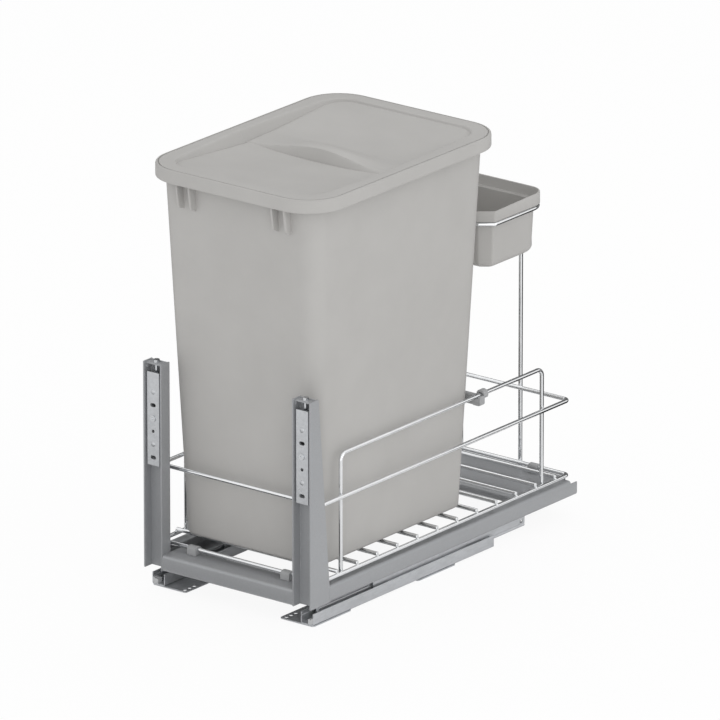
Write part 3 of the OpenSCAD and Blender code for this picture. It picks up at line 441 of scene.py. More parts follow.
# %% Edges and holes to be rounded
bodies = frame["record"]["behaviour"]["bodies"]
body_of = {node: body for body, nodes in bodies.items() for node in nodes}
flat_angle, sharp_angle, hole_dish = math.radians(1), math.radians(40), 0.6 * mm


def broken_edges(made, width_mm, limit="ANGLE"):
    """Breaks the sharp edges of a piece, or the edges with a weight, by a small round."""
    bevel = made.modifiers.new("edge", "BEVEL")
    bevel.width, bevel.segments, bevel.limit_method = width_mm * mm, 3, limit
    bevel.angle_limit = sharp_angle
    bevel.harden_normals = True


def read(items, name, width, kind=np.float32):
    """One value of each mesh item as an array with that many columns."""
    values = np.empty(len(items) * width, kind)
    items.foreach_get(name, values)
    return values.reshape(-1, width) if width > 1 else values


def face_of_corner(mesh):
    """For each corner of each face, the number of that face."""
    corners = read(mesh.polygons, "loop_total", 1, np.int32)
    return np.repeat(np.arange(len(corners)), corners)


def weigh_edges(mesh):
    """Puts weight 1 on each sharp edge and 0 round the holes. Two faces that meet in a shallow
    hollow belong to the wall of a hole, and these faces are returned as a mask."""
    normal, centre = read(mesh.polygons, "normal", 3), read(mesh.polygons, "center", 3)
    by_edge = np.argsort(read(mesh.loops, "edge_index", 1, np.int32), kind="stable")
    first, second = face_of_corner(mesh)[by_edge].reshape(-1, 2).T
    angle = np.arccos(np.clip((normal[first] * normal[second]).sum(1), -1, 1))
    hollow = ((centre[second] - centre[first]) * normal[first]).sum(1) > 0
    gentle = hollow & (angle > flat_angle) & (angle < sharp_angle)
    walls = np.zeros(len(normal), bool)
    walls[first[gentle]] = walls[second[gentle]] = True
    rounded = (angle > sharp_angle) & ~walls[first] & ~walls[second]
    weight = mesh.attributes.new("bevel_weight_edge", "FLOAT", "EDGE")
    weight.data.foreach_set("value", rounded.astype(np.float32))
    return walls


def dish_holes(mesh, walls, low, high):
    """Opens both rims of each hole in a plate: a rim point moves away from the hole by
    hole_dish * (sum of its walls' normals) / (that sum's length)."""
    face, normal = face_of_corner(mesh), read(mesh.polygons, "normal", 3)
    corner = read(mesh.loops, "vertex_index", 1, np.int32)
    away = np.zeros((len(mesh.vertices), 3))
    np.add.at(away, corner[walls[face]], normal[face[walls[face]]])
    length = np.linalg.norm(away, axis=1, keepdims=True)
    place = read(mesh.vertices, "co", 3)
    off_face = np.minimum(np.abs(place[:, 2] - low), np.abs(place[:, 2] - high))
    rim = (length[:, 0] > 0) & (off_face < merge_gap / 2)
    place[rim] -= hole_dish * away[rim] / length[rim]
    mesh.vertices.foreach_set("co", place.ravel())


# %% Strip with round edges
def eased(name, width_mm):
    """A copy of a CAD node that stands for it, with round edges or, at width 0, dished holes."""
    mesh = frame["nodes"][name].data.copy()
    mesh.name = name + "_eased"
    if "custom_normal" in mesh.attributes:
        mesh.attributes.remove(mesh.attributes["custom_normal"])
    mesh.materials.clear()
    low, high = (corner[2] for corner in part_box(name))
    shell = bmesh.new()
    shell.from_mesh(mesh)
    bmesh.ops.remove_doubles(shell, verts=shell.verts, dist=merge_gap)
    if width_mm:
        everything = {"verts": shell.verts, "edges": shell.edges}
        bmesh.ops.dissolve_limit(shell, angle_limit=flat_angle, **everything)
    else:
        for height in (low + hole_dish, high - hole_dish):
            everything = shell.verts[:] + shell.edges[:] + shell.faces[:]
            bmesh.ops.bisect_plane(
                shell, geom=everything, plane_co=(0, 0, height), plane_no=(0, 0, 1))
    shell.to_mesh(mesh)
    shell.free()
    walls = weigh_edges(mesh)
    if not width_mm:
        dish_holes(mesh, walls, low, high)
    made = shown(mesh, slot_of[name], body_of[name], [name], crisp_deg)
    if width_mm:
        broken_edges(made, width_mm, "WEIGHT")


fold_edge = 0.45
strip = {
    "door_plate": 0.5, "upright": fold_edge, "side_rail": fold_edge, "cabinet_rail": 0.3,
    "front_foot": 0, "rear_foot": 0, "middle_rail": 0.25, "runner": 0.3, "bumper": 0.5,
}
for hand in ("left", "right"):
    for part, width_mm in strip.items():
        eased(hand + "_" + part, width_mm)
for part in ("front_bar", "rear_plate"):
    eased(part, fold_edge)

# %% [markdown]
# Bin, lid and tray share one idea: a flat outline with round corners, drawn again at each height.
# Each corner gives way to an arc that touches both sides. The straight runs get points close to the
# arcs, or smooth shading would smear the corner's light over the whole flat wall.

# %% Outline with round corners
def unit(rows):
    """Each row as a direction of length 1."""
    return rows / np.linalg.norm(rows, axis=-1, keepdims=True)


def corner_arcs(before, corners, after, radii, steps=9):
    """At each corner the arc that touches the sides to its neighbours: about its centre it is
    (sin((1 - share) * sweep) * start + sin(share * sweep) * end) / sin(sweep)."""
    before, after, radii = unit(before - corners), unit(after - corners), np.array(radii)[:, None]
    half = np.arccos(np.clip((before * after).sum(1, keepdims=True), -1, 1)) / 2
    to_centre = unit(before + after) * radii / np.sin(half)
    start, end = (side * radii / np.tan(half) - to_centre for side in (before, after))
    share, sweep = np.linspace(0, 1, steps)[None, :, None], (np.pi - 2 * half)[:, None]
    spokes = np.sin((1 - share) * sweep) * start[:, None] + np.sin(share * sweep) * end[:, None]
    return (corners + to_centre)[:, None] + spokes / np.sin(sweep)


def outline(corners, radii, steps=9, runs=(0.02, 0.1, 0.5, 0.9, 0.98)):
    """Closed outline in the plane: an arc at each corner, and points on the straight runs."""
    corners = np.array(corners, float)
    arcs = corner_arcs(np.roll(corners, 1, 0), corners, np.roll(corners, -1, 0), radii, steps)
    part = np.array(runs)[None, :, None]
    straights = arcs[:, -1:] * (1 - part) + np.roll(arcs[:, :1], -1, 0) * part
    return np.concatenate([arcs, straights], 1).reshape(-1, 2)


def level(ring, height):
    """A flat outline lifted to a height."""
    return np.column_stack([ring, np.full(len(ring), height)])


def four_corners(x, front, rear):
    """A rectangle about the middle plane, from right rear to right front."""
    return [(x, rear), (-x, rear), (-x, front), (x, front)]


def base_round(ring_at, radius, wall, turn):
    """Rings up a round lower edge: each lies wall + radius * (1 - cos) over the base and
    wall + radius * (1 - sin) inside the outline."""
    rises, insets = wall + radius * (1 - np.cos(turn)), wall + radius * (1 - np.sin(turn))
    return [(ring_at(rise, inset), rise) for rise, inset in zip(rises, insets)]


quarter = np.radians(np.linspace(0, 90, 7))

# %% [markdown]
# ## The bin
# The bin is a tall bucket that widens upwards so that it leaves its mould and nests with others.
# Its base has a round edge, its rim turns out into a flat lip for the lid, and two pairs of fins
# brace the lip at the front. One skin runs from the base's middle up the outside, over the lip and
# down the inside, so the wall has its real thickness everywhere.

# %% Bin shell
bin_low, bin_high = box_of("bin")
bin_h = bin_high[2] - bin_low[2]
bin_wall, base_r, lip_t, web_r = 2.5, 4.0, 3.0, 3.0
base_x, base_front, base_rear, base_corner = 99.6, -211.2, 65.3, 16.0
lean_x, lean_front, lean_rear, corner_growth = 0.0336, 0.0587, 0.062, 0.018
lip_corner, least_corner, floor_inset = 46.5, 2.0, 50.0


def bin_front(height):
    """Where the bin's front wall stands at a height over its base: it leans by a fixed draft."""
    return base_front - lean_front * height


def bin_ring(height, inset):
    """The bin's outline at a height over its base: all walls lean out, and the corners widen."""
    x = base_x + lean_x * height - inset
    front, rear = bin_front(height) + inset, base_rear + lean_rear * height - inset
    radius = max(base_corner + corner_growth * height - inset, least_corner)
    return outline(four_corners(x, front, rear), [radius] * 4)


def lip_ring(share):
    """From the wall's outline below the lip, at share 0, to the lip's own edge, at share 1."""
    edge = outline(four_corners(bin_high[0], bin_low[1], bin_high[1]), [lip_corner] * 4)
    return bin_ring(bin_h, 0.0) * (1 - share) + edge * share


wall_heights = (20, 60, 120, 200, 280, 360, 420, 440)
under = bin_h - lip_t - web_r
web = zip(under + web_r * np.sin(quarter), web_r * (np.cos(quarter) - 1))
lip_edge = ((0.985, 0.3), (1.0, 0.9), (1.0, 2.1), (0.985, 2.7), (0.94, 3.0))
mouth_edge = ((1.0, 0.0), (1.9, 0.3), (2.4, 0.9), (2.5, 1.6))
stations = [(bin_ring(0, base_r + floor_inset), 0.0)]
stations += base_round(bin_ring, base_r, 0.0, quarter)
stations += [(bin_ring(h, 0), h) for h in wall_heights]
stations += [(bin_ring(h, inset), h) for h, inset in web]
stations += [(lip_ring(share), bin_h - lip_t) for share in (0.4, 0.7, 0.94)]
stations += [(lip_ring(share), bin_h - lip_t + rise) for share, rise in lip_edge]
stations += [(lip_ring(share), bin_h) for share in (0.6, 0.2)]
stations += [(bin_ring(bin_h - drop, inset), bin_h - drop) for inset, drop in mouth_edge]
stations += [(bin_ring(h, bin_wall), h) for h in wall_heights[::-1]]
stations += base_round(bin_ring, base_r - bin_wall / 2, bin_wall, quarter[::-1])
stations += [(bin_ring(bin_wall, floor_inset + 10), bin_wall)]
bin_skin = loft([level(ring, bin_low[2] + height) for ring, height in stations])

# %% [markdown]
# A fin is a thin web that stands on the wall and carries the lip. Its lower end is a quarter round,
# and from there its depth grows slowly to the top, so it is a loop, a slot-shaped section, carried
# up the wall.

# %% Fins under the lip
fin_h, fin_depth, fin_t, fin_end, fin_root, nose_depth = 43.0, 12.5, 3.6, 0.16, 1.5, 0.9
fin_places = (60.5, 78.5)


def fin(x):
    """A loop of points, flat sides and a round nose, at each of many heights. The lower end is a
    quarter round: depth * (0.72 * sqrt(1 - (1 - share / end)**2) + 0.28 * share)."""
    share = np.concatenate([fin_end * (1 - np.cos(quarter)), np.linspace(0.25, 1, 9)])[:, None]
    z = bin_h - lip_t - fin_h * (1 - share)
    low_end = np.sqrt(1 - (1 - np.minimum(1, share / fin_end)) ** 2)
    reach = fin_depth * (0.72 * low_end + 0.28 * share)
    nose = np.radians(np.linspace(0, 180, 9))[None, :]
    side = fin_t / 2 * np.concatenate([np.ones((1, 2)), np.cos(nose), -np.ones((1, 2))], 1)
    straight, root, middle = np.zeros((len(share), 2)), 0 * z - fin_root, 0.5 * reach
    out = np.concatenate([straight, np.sin(nose) * np.minimum(nose_depth, reach), straight], 1)
    nose_foot = np.repeat(np.maximum(reach - nose_depth, 0), nose.size, 1)
    deep = np.concatenate([root, middle, nose_foot, middle, root], 1)
    draft = 1.0 - 0.25 * (deep + out) / fin_depth
    y = bin_front(z) - deep - out
    return np.stack([x + side * draft + 0 * z, y, bin_low[2] + z + 0 * side], -1)


fins = [loft(fin(side * x)) for side in (-1, 1) for x in fin_places]
piece("bin_shell", [bin_skin] + fins, "bin_plastic", "bin_body", ["bin"])

# %% [markdown]
# ## The lid
# The lid has a broad flat border and a skirt that drops over the bin's lip. Inside the border the
# top sinks to a valley at the middle, where an arched grip stands: steep in front, round on top,
# running out into the rear panel. Sculpting would do, but a height over each point says it exactly:
# two panels that sink towards the grip and lie a little higher at the sides, and the grip as a bell
# across times a nose along.

# %% Lid heights
lid_low, lid_high = box_of("lid")
border_side, border_end, dish_r, lid_t = 26.0, 22.0, 27.5, 2.5
dish_x, dish_front = lid_high[0] - border_side, lid_low[1] + border_end
dish_rear = lid_high[1] - border_end
core_x, core_front, core_rear = dish_x - dish_r, dish_front + dish_r, dish_rear - dish_r
grip_y, valley, shallow, level_run = -85.2, -15.0, -2.0, 13.0
grip_h, nose_run, crest_run, tail_run = 14.0, 7.0, 16.0, 36.0


def dish_edge(x, y):
    """Distance inwards from the dish's rounded outline: with over_x and over_y as the ways past the
    straight sides, dish_r - hypot(max(over_x, 0), max(over_y, 0)) - min(max(over_x, over_y), 0)."""
    over_x = np.abs(x) - core_x
    over_y = np.abs(y - (core_front + core_rear) / 2) - (core_rear - core_front) / 2
    corner = np.hypot(np.maximum(over_x, 0), np.maximum(over_y, 0))
    return dish_r - corner - np.minimum(np.maximum(over_x, over_y), 0)


def dish_height(x, y):
    """Height under the border: shallow + (valley - shallow) * sink for the panels, plus
    grip_h * bell * (face + top) * tail, less narrow gutters along the grip and the wall."""
    behind = y - grip_y
    before = (y - dish_front) / (grip_y - dish_front)
    after = 1 - np.clip((behind - level_run) / (dish_rear - grip_y - level_run), 0, 1)
    sink = np.where(behind < 0, before, after) * (1 - 0.3 * np.abs(x / dish_x) ** 3)
    bell = 0.1 + 0.9 * (0.5 + 0.5 * np.cos(np.pi * np.clip(x / dish_x, -1, 1)))
    run = nose_run * (0.3 + 0.7 * bell)
    face = 0.88 * np.clip(behind / run, 0, 1)
    to_crest = (crest_run - np.clip(behind, run, crest_run)) / (crest_run - run)
    top = 0.12 * np.sqrt(np.clip(1 - to_crest ** 2, 0, 1))
    tail = 0.5 + 0.5 * np.cos(np.pi * np.clip((behind - crest_run) / tail_run, 0, 1))
    grip_gutter = 1.6 * bell * np.exp(-((behind + 0.8) / 1.6) ** 2)
    wall_gutter = 3.8 * (0.2 + 0.8 * sink) * np.exp(-(dish_edge(x, y) / 3.0) ** 2)
    panels, grip = shallow + (valley - shallow) * sink, grip_h * bell * (face + top) * tail
    return panels + grip - (grip_gutter + wall_gutter)


# %% [markdown]
# The dish is a grid whose lines across are as long as its rounded outline allows. The leaning wall,
# the border and the skirt are rings that start from the grid's own rim points, so they meet point
# for point and no gap is left. A fine groove runs round the border's edge, as a mould's parting
# ring leaves it.

# %% Lid skin
bow = dish_r * (1 - np.cos(np.radians(np.linspace(0, 90, 11))))
near_grip = grip_y + np.array([
    -12, -7, -5, -3.6, -2.6, -1.8, -1.2, -0.6, 0, 0.6, 1.5, 3, 4.5, 6, 6.8, 7, 7.2, 7.6,
    8.2, 9, 10.2, 12, 14, 16, 19, 23, 28, 33, 38, 43, 48, 52, 56,
])
lines = np.concatenate([
    dish_front + bow,
    np.linspace(core_front, near_grip[0], 16)[1:-1],
    near_grip,
    np.linspace(near_grip[-1], core_rear, 16)[1:-1],
    dish_rear - bow[::-1],
])
bend = np.maximum(np.maximum(core_front - lines, lines - core_rear), 0)
half_line = core_x + np.sqrt(np.maximum(dish_r ** 2 - bend ** 2, 0))
across = np.sin(np.radians(np.linspace(-90, 90, 91)))
dish_xs = half_line[:, None] * across[None, :]
dish_ys = np.repeat(lines[:, None], len(across), 1)
dish_top = np.stack([dish_xs, dish_ys, lid_high[2] + dish_height(dish_xs, dish_ys)], -1)
dish_under = dish_top - np.array([0.0, 0.0, lid_t])

wall_foot = np.concatenate([
    dish_top[0], dish_top[1:, -1], dish_top[-1, -2::-1], dish_top[-2:0:-1, 0],
])
rim, sunk = wall_foot[:, :2], wall_foot[:, 2] - lid_high[2]
spine = np.clip(rim, [-core_x, core_front], [core_x, core_rear])
outward = unit(rim - spine)
lid_r = dish_r + border_end
edge = spine * [(lid_high[0] - lid_r) / core_x, 1.0] + lid_r * outward


def smooth_min(a, b, width):
    """The smaller of two heights, rounded off where they cross within that width."""
    near = np.maximum(width - np.abs(a - b), 0) / width
    return np.minimum(a, b) - near * near * width / 4


def wall_ring(share, drop):
    """From the dish's rim, at share 0, up the leaning wall and over the border to the lid's edge,
    at share 1. The height is the smooth minimum of sunk + steep * gone and 0."""
    gone = share * np.linalg.norm(edge - rim, axis=1)
    steep = 1.45 + 0.6 * outward[:, 1] ** 2
    height = smooth_min(sunk + steep * gone, 0 * gone, 2.0) if share > 0 else sunk
    return np.column_stack([rim + share * (edge - rim), lid_high[2] + height - drop])


def edge_ring(inset, drop):
    """The lid's edge, moved inwards by inset and down by drop."""
    return level(edge - inset * outward, lid_high[2] - drop)


# %% Lid rings
skirt = lid_high[2] - lid_low[2]
shares = (0.0, 0.012, 0.03, 0.055, 0.085, 0.12, 0.17, 0.22, 0.27, 0.32, 0.37, 0.42, 0.5, 0.7)
groove = ((4.7, 0.0), (4.2, 0.1), (3.9, 1.7), (3.1, 1.7), (2.8, 0.1))
edge_bend = zip(lid_t * (1 - np.sin(quarter)), lid_t * (1 - np.cos(quarter)))
hem = ((0, 3.0), (0, 1.2), (0.35, 0.4), (1.25, 0.0), (2.15, 0.4), (2.5, 1.2))
inside = ((2.5, 6.0), (2.8, 4.0), (3.6, 2.9), (5.0, lid_t))
rings = [wall_ring(share, 0) for share in shares]
rings += [edge_ring(inset, drop) for inset, drop in (*groove, *edge_bend)]
rings += [edge_ring(inset, skirt - rise) for inset, rise in hem]
rings += [edge_ring(inset, drop) for inset, drop in inside]
rings += [wall_ring(share, lid_t) for share in shares[::-1]]
lid_shapes = [grid(dish_top), grid(np.asarray(rings), close_columns=True), grid(dish_under)]
piece("lid_shell", lid_shapes, "bin_plastic", "lid_body", ["lid"], crisp=32.0)

# %% [markdown]
# ## The small tray
# Behind the bin hangs a tray for cloths. A wider rim band rests on the wire ring, the body below it
# tapers to a round lower edge, and the two front corners are cut off so that the tray clears the
# bin. It is lofted as the bin is, and the ledge where the band meets the body shows inside as well.

# %% Tray shell
tray_low, tray_high = box_of("tray")
tray_t, band, foot_r, taper_foot = 2.0, 13.0, 8.0, 5.0
rear_push, rear_rise, corner_cut, cut_slope, cut_r = 3.3, 2.2, 18.0, 0.75, 5.0
seat_inset, base_inset = 4.4, 6.4
foot_corner, body_corner, band_corner, inner_band_corner = 21.0, 23.0, 20.0, 18.5
seat = tray_high[2] - tray_low[2] - band


def tray_ring(inset, rear_r):
    """The tray's outline shrunk by inset: round rear corners, and front corners cut at 4 to 3."""
    x, front = tray_high[0] - inset, tray_low[1] + inset
    rear, cut = tray_high[1] + rear_push - inset, corner_cut - inset * 2 / 3
    beside = front + cut_slope * cut
    corners = [(x, rear), (-x, rear), (-x, beside), (cut - x, front), (x - cut, front), (x, beside)]
    return outline(corners, [rear_r] * 2 + [cut_r] * 4)


def foot_ring(rear_r):
    """Returns a function for the outline at the tray's round lower edge, with that rear corner."""
    return lambda rise, inset: tray_ring(base_inset + inset, rear_r)


def drawn_in(ring, share):
    """A ring drawn towards its own middle by a share of the way."""
    return ring + share * (ring.mean(0) - ring)


def body_inset(height):
    """How far the tapering body lies inside the rim band at a height over the tray's base."""
    taper = np.clip((seat - height) / (seat - taper_foot), 0, 1)
    return seat_inset + (base_inset - seat_inset) * taper


ledge = ((0, 1.5), (0.4, 0.4), (1.4, 0.0), (3.6, 0.0))
band_outside = (
    (0.3, 0.25), (0.0, 0.8), (0.0, band - 1.0), (0.3, band - 0.3), (0.9, band), (1.3, band),
)
band_inside = (
    (1.8, band - 0.3), (2.0, band - 1.0), (2.0, 3.4), (2.6, 2.3), (3.8, 2.0), (5.6, 2.0),
)
inner_heights = (seat + 1.2, seat - 1.0, 42, 28, 16)
levels = [(drawn_in(tray_ring(base_inset + foot_r, foot_corner), 0.5), 0.0)]
levels += base_round(foot_ring(foot_corner), foot_r, 0.0, quarter)
levels += [(tray_ring(body_inset(h), body_corner), h) for h in (16, 28, 42, 52)]
levels += [(tray_ring(seat_inset - out, body_corner), seat - drop) for out, drop in ledge]
levels += [(tray_ring(inset, band_corner), seat + rise) for inset, rise in band_outside]
levels += [(tray_ring(inset, inner_band_corner), seat + rise) for inset, rise in band_inside]
levels += [(tray_ring(body_inset(h) + tray_t, body_corner - tray_t), h) for h in inner_heights]
levels += base_round(foot_ring(foot_corner - tray_t), foot_r - tray_t, tray_t, quarter[::-1])
levels += [(drawn_in(levels[-1][0], 0.5), tray_t)]
tray_rings = np.array([level(ring, tray_low[2] + height) for ring, height in levels])
in_band = np.clip((tray_rings[..., 2] - tray_low[2] - seat) / band, 0, 1)
to_rear = (tray_rings[..., 1] - tray_low[1]) / (tray_high[1] - tray_low[1])
tray_rings[..., 2] += rear_rise * in_band * to_rear
piece("tray_shell", [loft(tray_rings)], "bin_plastic", "tray_body", ["tray"])

# %% [markdown]
# ## The wires
# Rim, guard, hoops and the tray's stand are bent from 5 mm wire. A curve with a bevel would look
# the same, but a profile carried along a path gives the distance along the wire for the chrome as
# well. Each bend is an arc that touches both straight runs; a circle is set square to the path at
# each point. Cut ends are slightly domed.

# %% Bent wire
wire_r, tip, shoulder, tip_share = 2.5, 0.05, 0.5, 0.82


def bent(corners, bends, closed):
    """Path through corners in a plane with an arc at each bend; an open path has plain ends."""
    if closed:
        return outline(corners, bends, runs=()), closed
    corners = np.array(corners, float)
    arcs = corner_arcs(corners[:-2], corners[1:-1], corners[2:], bends)
    return np.concatenate([corners[:1], arcs.reshape(-1, 2), corners[-1:]]), closed


def in_plane(path, axis, height):
    """A flat path set in space: the plane faces along axis and lies at height on it."""
    points, closed = path
    return np.insert(points, axis, height, axis=1), closed, np.eye(3)[axis]


def wire(path, sides=14):
    """A circle, cos(turn) * aside + sin(turn) * facing, set square to the path at each point, with
    domed ends. Returns (points, blocks) and each point's distance along the wire."""
    points, closed, facing = path
    if closed:
        step = np.roll(points, -1, 0) - np.roll(points, 1, 0)
        size = np.full(len(points), wire_r)
    else:
        first, last = points[:1], points[-1:]
        ahead, behind = unit(points[1:2] - first), unit(last - points[-2:-1])
        points = np.concatenate([
            first, first + tip * ahead, first + shoulder * ahead, points[1:-1],
            last - shoulder * behind, last - tip * behind, last,
        ])
        step = np.gradient(points, axis=0)
        size = np.full(len(points), wire_r)
        size[[0, 1, -2, -1]] *= [0, tip_share, tip_share, 0]
    aside = np.cross(unit(step), facing)
    turn = np.linspace(0, 2 * np.pi, sides, endpoint=False)[None, :, None]
    circle = np.cos(turn) * aside[:, None] + np.sin(turn) * np.asarray(facing)[None, None]
    skin = points[:, None] + size[:, None, None] * circle
    gone = np.concatenate([[0], np.cumsum(np.linalg.norm(np.diff(points, axis=0), axis=1))])
    return grid(skin, close_rows=closed, close_columns=True), np.repeat(gone, sides)


# %% [markdown]
# Where two wires cross they are pressed together hot, and a little metal is squeezed out. That bead
# is a small flattened ball at each weld.

# %% Weld beads
bead_r, bead_flat, bead_off = 2.1, 1.2, 2.4


def beads(centres, radii):
    """An ellipsoid at each centre, where two angles run round and over it:
    radii * (sin(over) * cos(round_), sin(over) * sin(round_), cos(over))."""
    over = np.radians(np.linspace(0, 180, 7))[:, None]
    round_ = np.radians(np.linspace(0, 360, 10, endpoint=False))[None, :]
    x, y = np.sin(over) * np.cos(round_), np.sin(over) * np.sin(round_)
    ball = np.stack([x, y, np.cos(over) + 0 * round_], -1)
    shapes = [grid(np.asarray(centre) + ball * radii, close_columns=True) for centre in centres]
    return shapes, [np.zeros(len(points)) for points, blocks in shapes]


def wire_piece(name, wires, stands_for, welds=((), (1, 1, 1))):
    """One object from several wires and the beads at their welds."""
    skins, skins_along = zip(*[wire(path) for path in wires])
    bead_shapes, bead_along = beads(*welds)
    along = [*skins_along, *bead_along]
    piece(name, [*skins, *bead_shapes], "chrome_wire", "frame", stands_for, along=along)


rim_bend, hoop_bend, ring_bend, frame_top = 6.0, 9.0, 26.0, 44.0
rim_x, rim_front, rim_rear, rim_z, guard_z = 118.7, -229.0, 243.0, 51.0, 144.5
loop = [(rim_x, rim_front), (rim_x, rim_rear), (-rim_x, rim_rear), (-rim_x, rim_front)]
bent_loop = bent(loop, [rim_bend] * 4, True)
wire_piece("rim_wire_bent", [in_plane(bent_loop, 2, rim_z)], ["rim_wire"])
wire_piece("guard_wire_bent", [in_plane(bent_loop, 2, guard_z)], ["guard_wire"])

# %% Cross wires and hoops
cross_first, cross_pitch, cross_count, cross_up = -199.2, 37.9, 12, 4.8
cross_y = cross_first + cross_pitch * np.arange(cross_count)
cross = [
    (np.array([(x, y, rim_z + cross_up) for x in (-rim_x, 0, rim_x)]), False, np.eye(3)[2])
    for y in cross_y
]
cross_welds = [(side * rim_x, y, rim_z + bead_off) for y in cross_y for side in (-1, 1)]
wire_piece("cross_wires_drawn", cross, ["cross_wires"], (cross_welds, (bead_r, bead_r, bead_flat)))

hoop_x, hoop_front, hoop_rear, hoop_z = 113.9, -187.0, 197.0, 195.0
hoop_low, legs = rim_z - wire_r, (hoop_front, hoop_rear)
arch = [(hoop_front, hoop_low), (hoop_front, hoop_z), (hoop_rear, hoop_z), (hoop_rear, hoop_low)]
bent_arch = bent(arch, [hoop_bend] * 2, False)
for hand, side in (("left", -1), ("right", 1)):
    welds = [(side * (hoop_x + bead_off), y, z) for y in legs for z in (rim_z, guard_z)]
    hoop = in_plane(bent_arch, 0, side * hoop_x)
    wire_piece(hand + "_hoop_bent", [hoop], [hand + "_hoop"], (welds, (bead_flat, bead_r, bead_r)))

# %% Stand for the tray
ring_x, ring_front, ring_rear, ring_z, ring_cut, ring_end = 82.5, 133.5, 246.3, 380.0, 17.0, 39.0
post_x, post_y, post_middle = 44.0, 247.8, 200.0
right_half = [
    (ring_end, ring_rear), (ring_x, ring_rear),
    (ring_x, ring_front + cut_slope * ring_cut), (ring_x - ring_cut, ring_front),
]
ring = right_half + [(-x, y) for x, y in right_half[::-1]]
ring_bends = [ring_bend] + [rim_bend] * 4 + [ring_bend]
stand = [in_plane(bent(ring, ring_bends, False), 2, ring_z)]
for side in (-1, 1):
    heights = (frame_top, post_middle, ring_z + wire_r)
    post = np.array([(side * post_x, post_y, z) for z in heights])
    stand.append((post, False, np.eye(3)[1]))
weld_heights = (rim_z, guard_z, ring_z)
welds = [(side * post_x, post_y - bead_off, z) for side in (-1, 1) for z in weld_heights]
wire_piece("tray_stand_bent", stand, ["tray_stand"], (welds, (bead_r, bead_flat, bead_r)))

# %% [markdown]
# ## Clips and stop bar
# Grey plastic clips hold the rim wire down on the frame, and a bar with a clip at each end rides on
# the hoops and keeps the bin from sliding back. A stop clip has two halves, so that it turns onto
# the wire and then holds: the front half cradles the wire from below and the rear half hooks over
# it. Each is an outline pushed along a straight line. A Bevel modifier then breaks the edges, as
# the mould does.

# %% Pushed outlines
clip_x, clip_half, hood_reach, hood_h = 69.0, 6.5, 5.8, 3.7
mould_edge, mould_crisp = 0.5, 30.0


def pushed(ring, axis, start, end):
    """A flat outline pushed along an axis from start to end, with a flat face at each end."""
    ring = np.asarray(ring, float)
    count = len(ring)
    ends = np.stack([np.insert(ring, axis, place, axis=1) for place in (start, end)])
    walls, blocks = grid(ends, close_columns=True)
    return walls, blocks + [np.arange(count)[None], np.arange(count, 2 * count)[None]]


def arc(turn, reach, rise):
    """Points (reach * cos(turn), rise * sin(turn))."""
    return np.column_stack([reach * np.cos(turn), rise * np.sin(turn)])


def moulded_piece(name, shapes, body, node):
    """A piece of clip plastic with the small round that a mould leaves on its edges."""
    made = piece(name, shapes, "clip_plastic", body, [node], crisp=mould_crisp)
    broken_edges(made, mould_edge)


hood = arc(np.radians(np.linspace(0, 180, 13)), hood_reach, hood_h)
clip_foot = frame_top - rim_z
section = np.concatenate([[(hood_reach, clip_foot)], hood, [(-hood_reach, clip_foot)]])
for end, wire_y in (("front", rim_front), ("rear", rim_rear)):
    place = section + [wire_y, rim_z]
    clips = [pushed(place, 0, x - clip_half, x + clip_half) for x in (-clip_x, clip_x)]
    moulded_piece(end + "_clips_moulded", clips, "frame", end + "_clips")

# %% Stop bar
bore, jaw, low_end, toe_r, gape_deg = 2.9, 6.0, -11.5, 2.8, 50.0
cradle_front, cradle_rear, hook_front, hook_rear = 69.7, 79.0, 78.0, 86.0
bar_front, bar_rear, bar_low, bar_top, bar_r, bar_gap = 74.7, 81.7, 181.5, 194.5, 2.0, 5.0
over_wire = np.radians(np.linspace(gape_deg - 90.0, 270.0 - gape_deg, 29))
under_wire = np.radians(np.linspace(180, 360, 17))
hook = np.concatenate([arc(over_wire, jaw, jaw), arc(over_wire[::-1], bore, bore)])
toe = [jaw - toe_r, low_end + toe_r] + arc(quarter, toe_r, -toe_r)
heel = toe[::-1] * [-1, 1]
cradle = np.concatenate([[(jaw, 0.0)], toe, heel, [(-jaw, 0.0)], arc(under_wire, bore, bore)])
stop_shapes = []
for side in (-1, 1):
    on_wire = np.array([side * hoop_x, hoop_z])
    stop_shapes.append(pushed(cradle + on_wire, 1, cradle_front, cradle_rear))
    stop_shapes.append(pushed(hook + on_wire, 1, hook_front, hook_rear))
corners = [(bar_rear, bar_top), (bar_front, bar_top), (bar_front, bar_low), (bar_rear, bar_low)]
bar = outline(corners, [bar_r] * 4, steps=5)
stop_shapes.append(pushed(bar, 0, bar_gap - hoop_x, hoop_x - bar_gap))
moulded_piece("stop_bar_moulded", stop_shapes, "stop_bar_body", "stop_bar")

# %% [markdown]
# ## Adjuster caps and rivets
# A pressed cap closes the top of each upright and carries the screw that sets the door's height: a
# plate with a hole and a cheek at each side, hollow below. The door plate's rivets have low domed
# heads. The cap's plate is a band of rings from the hole to the edge and back underneath; a rivet
# is a profile turned round its axis.

# %% Caps and rivets
cap_t, cheek_t, cap_edge, screw_hole_r, rivet_inset = 2.2, 1.4, 0.3, 2.3, 3.8


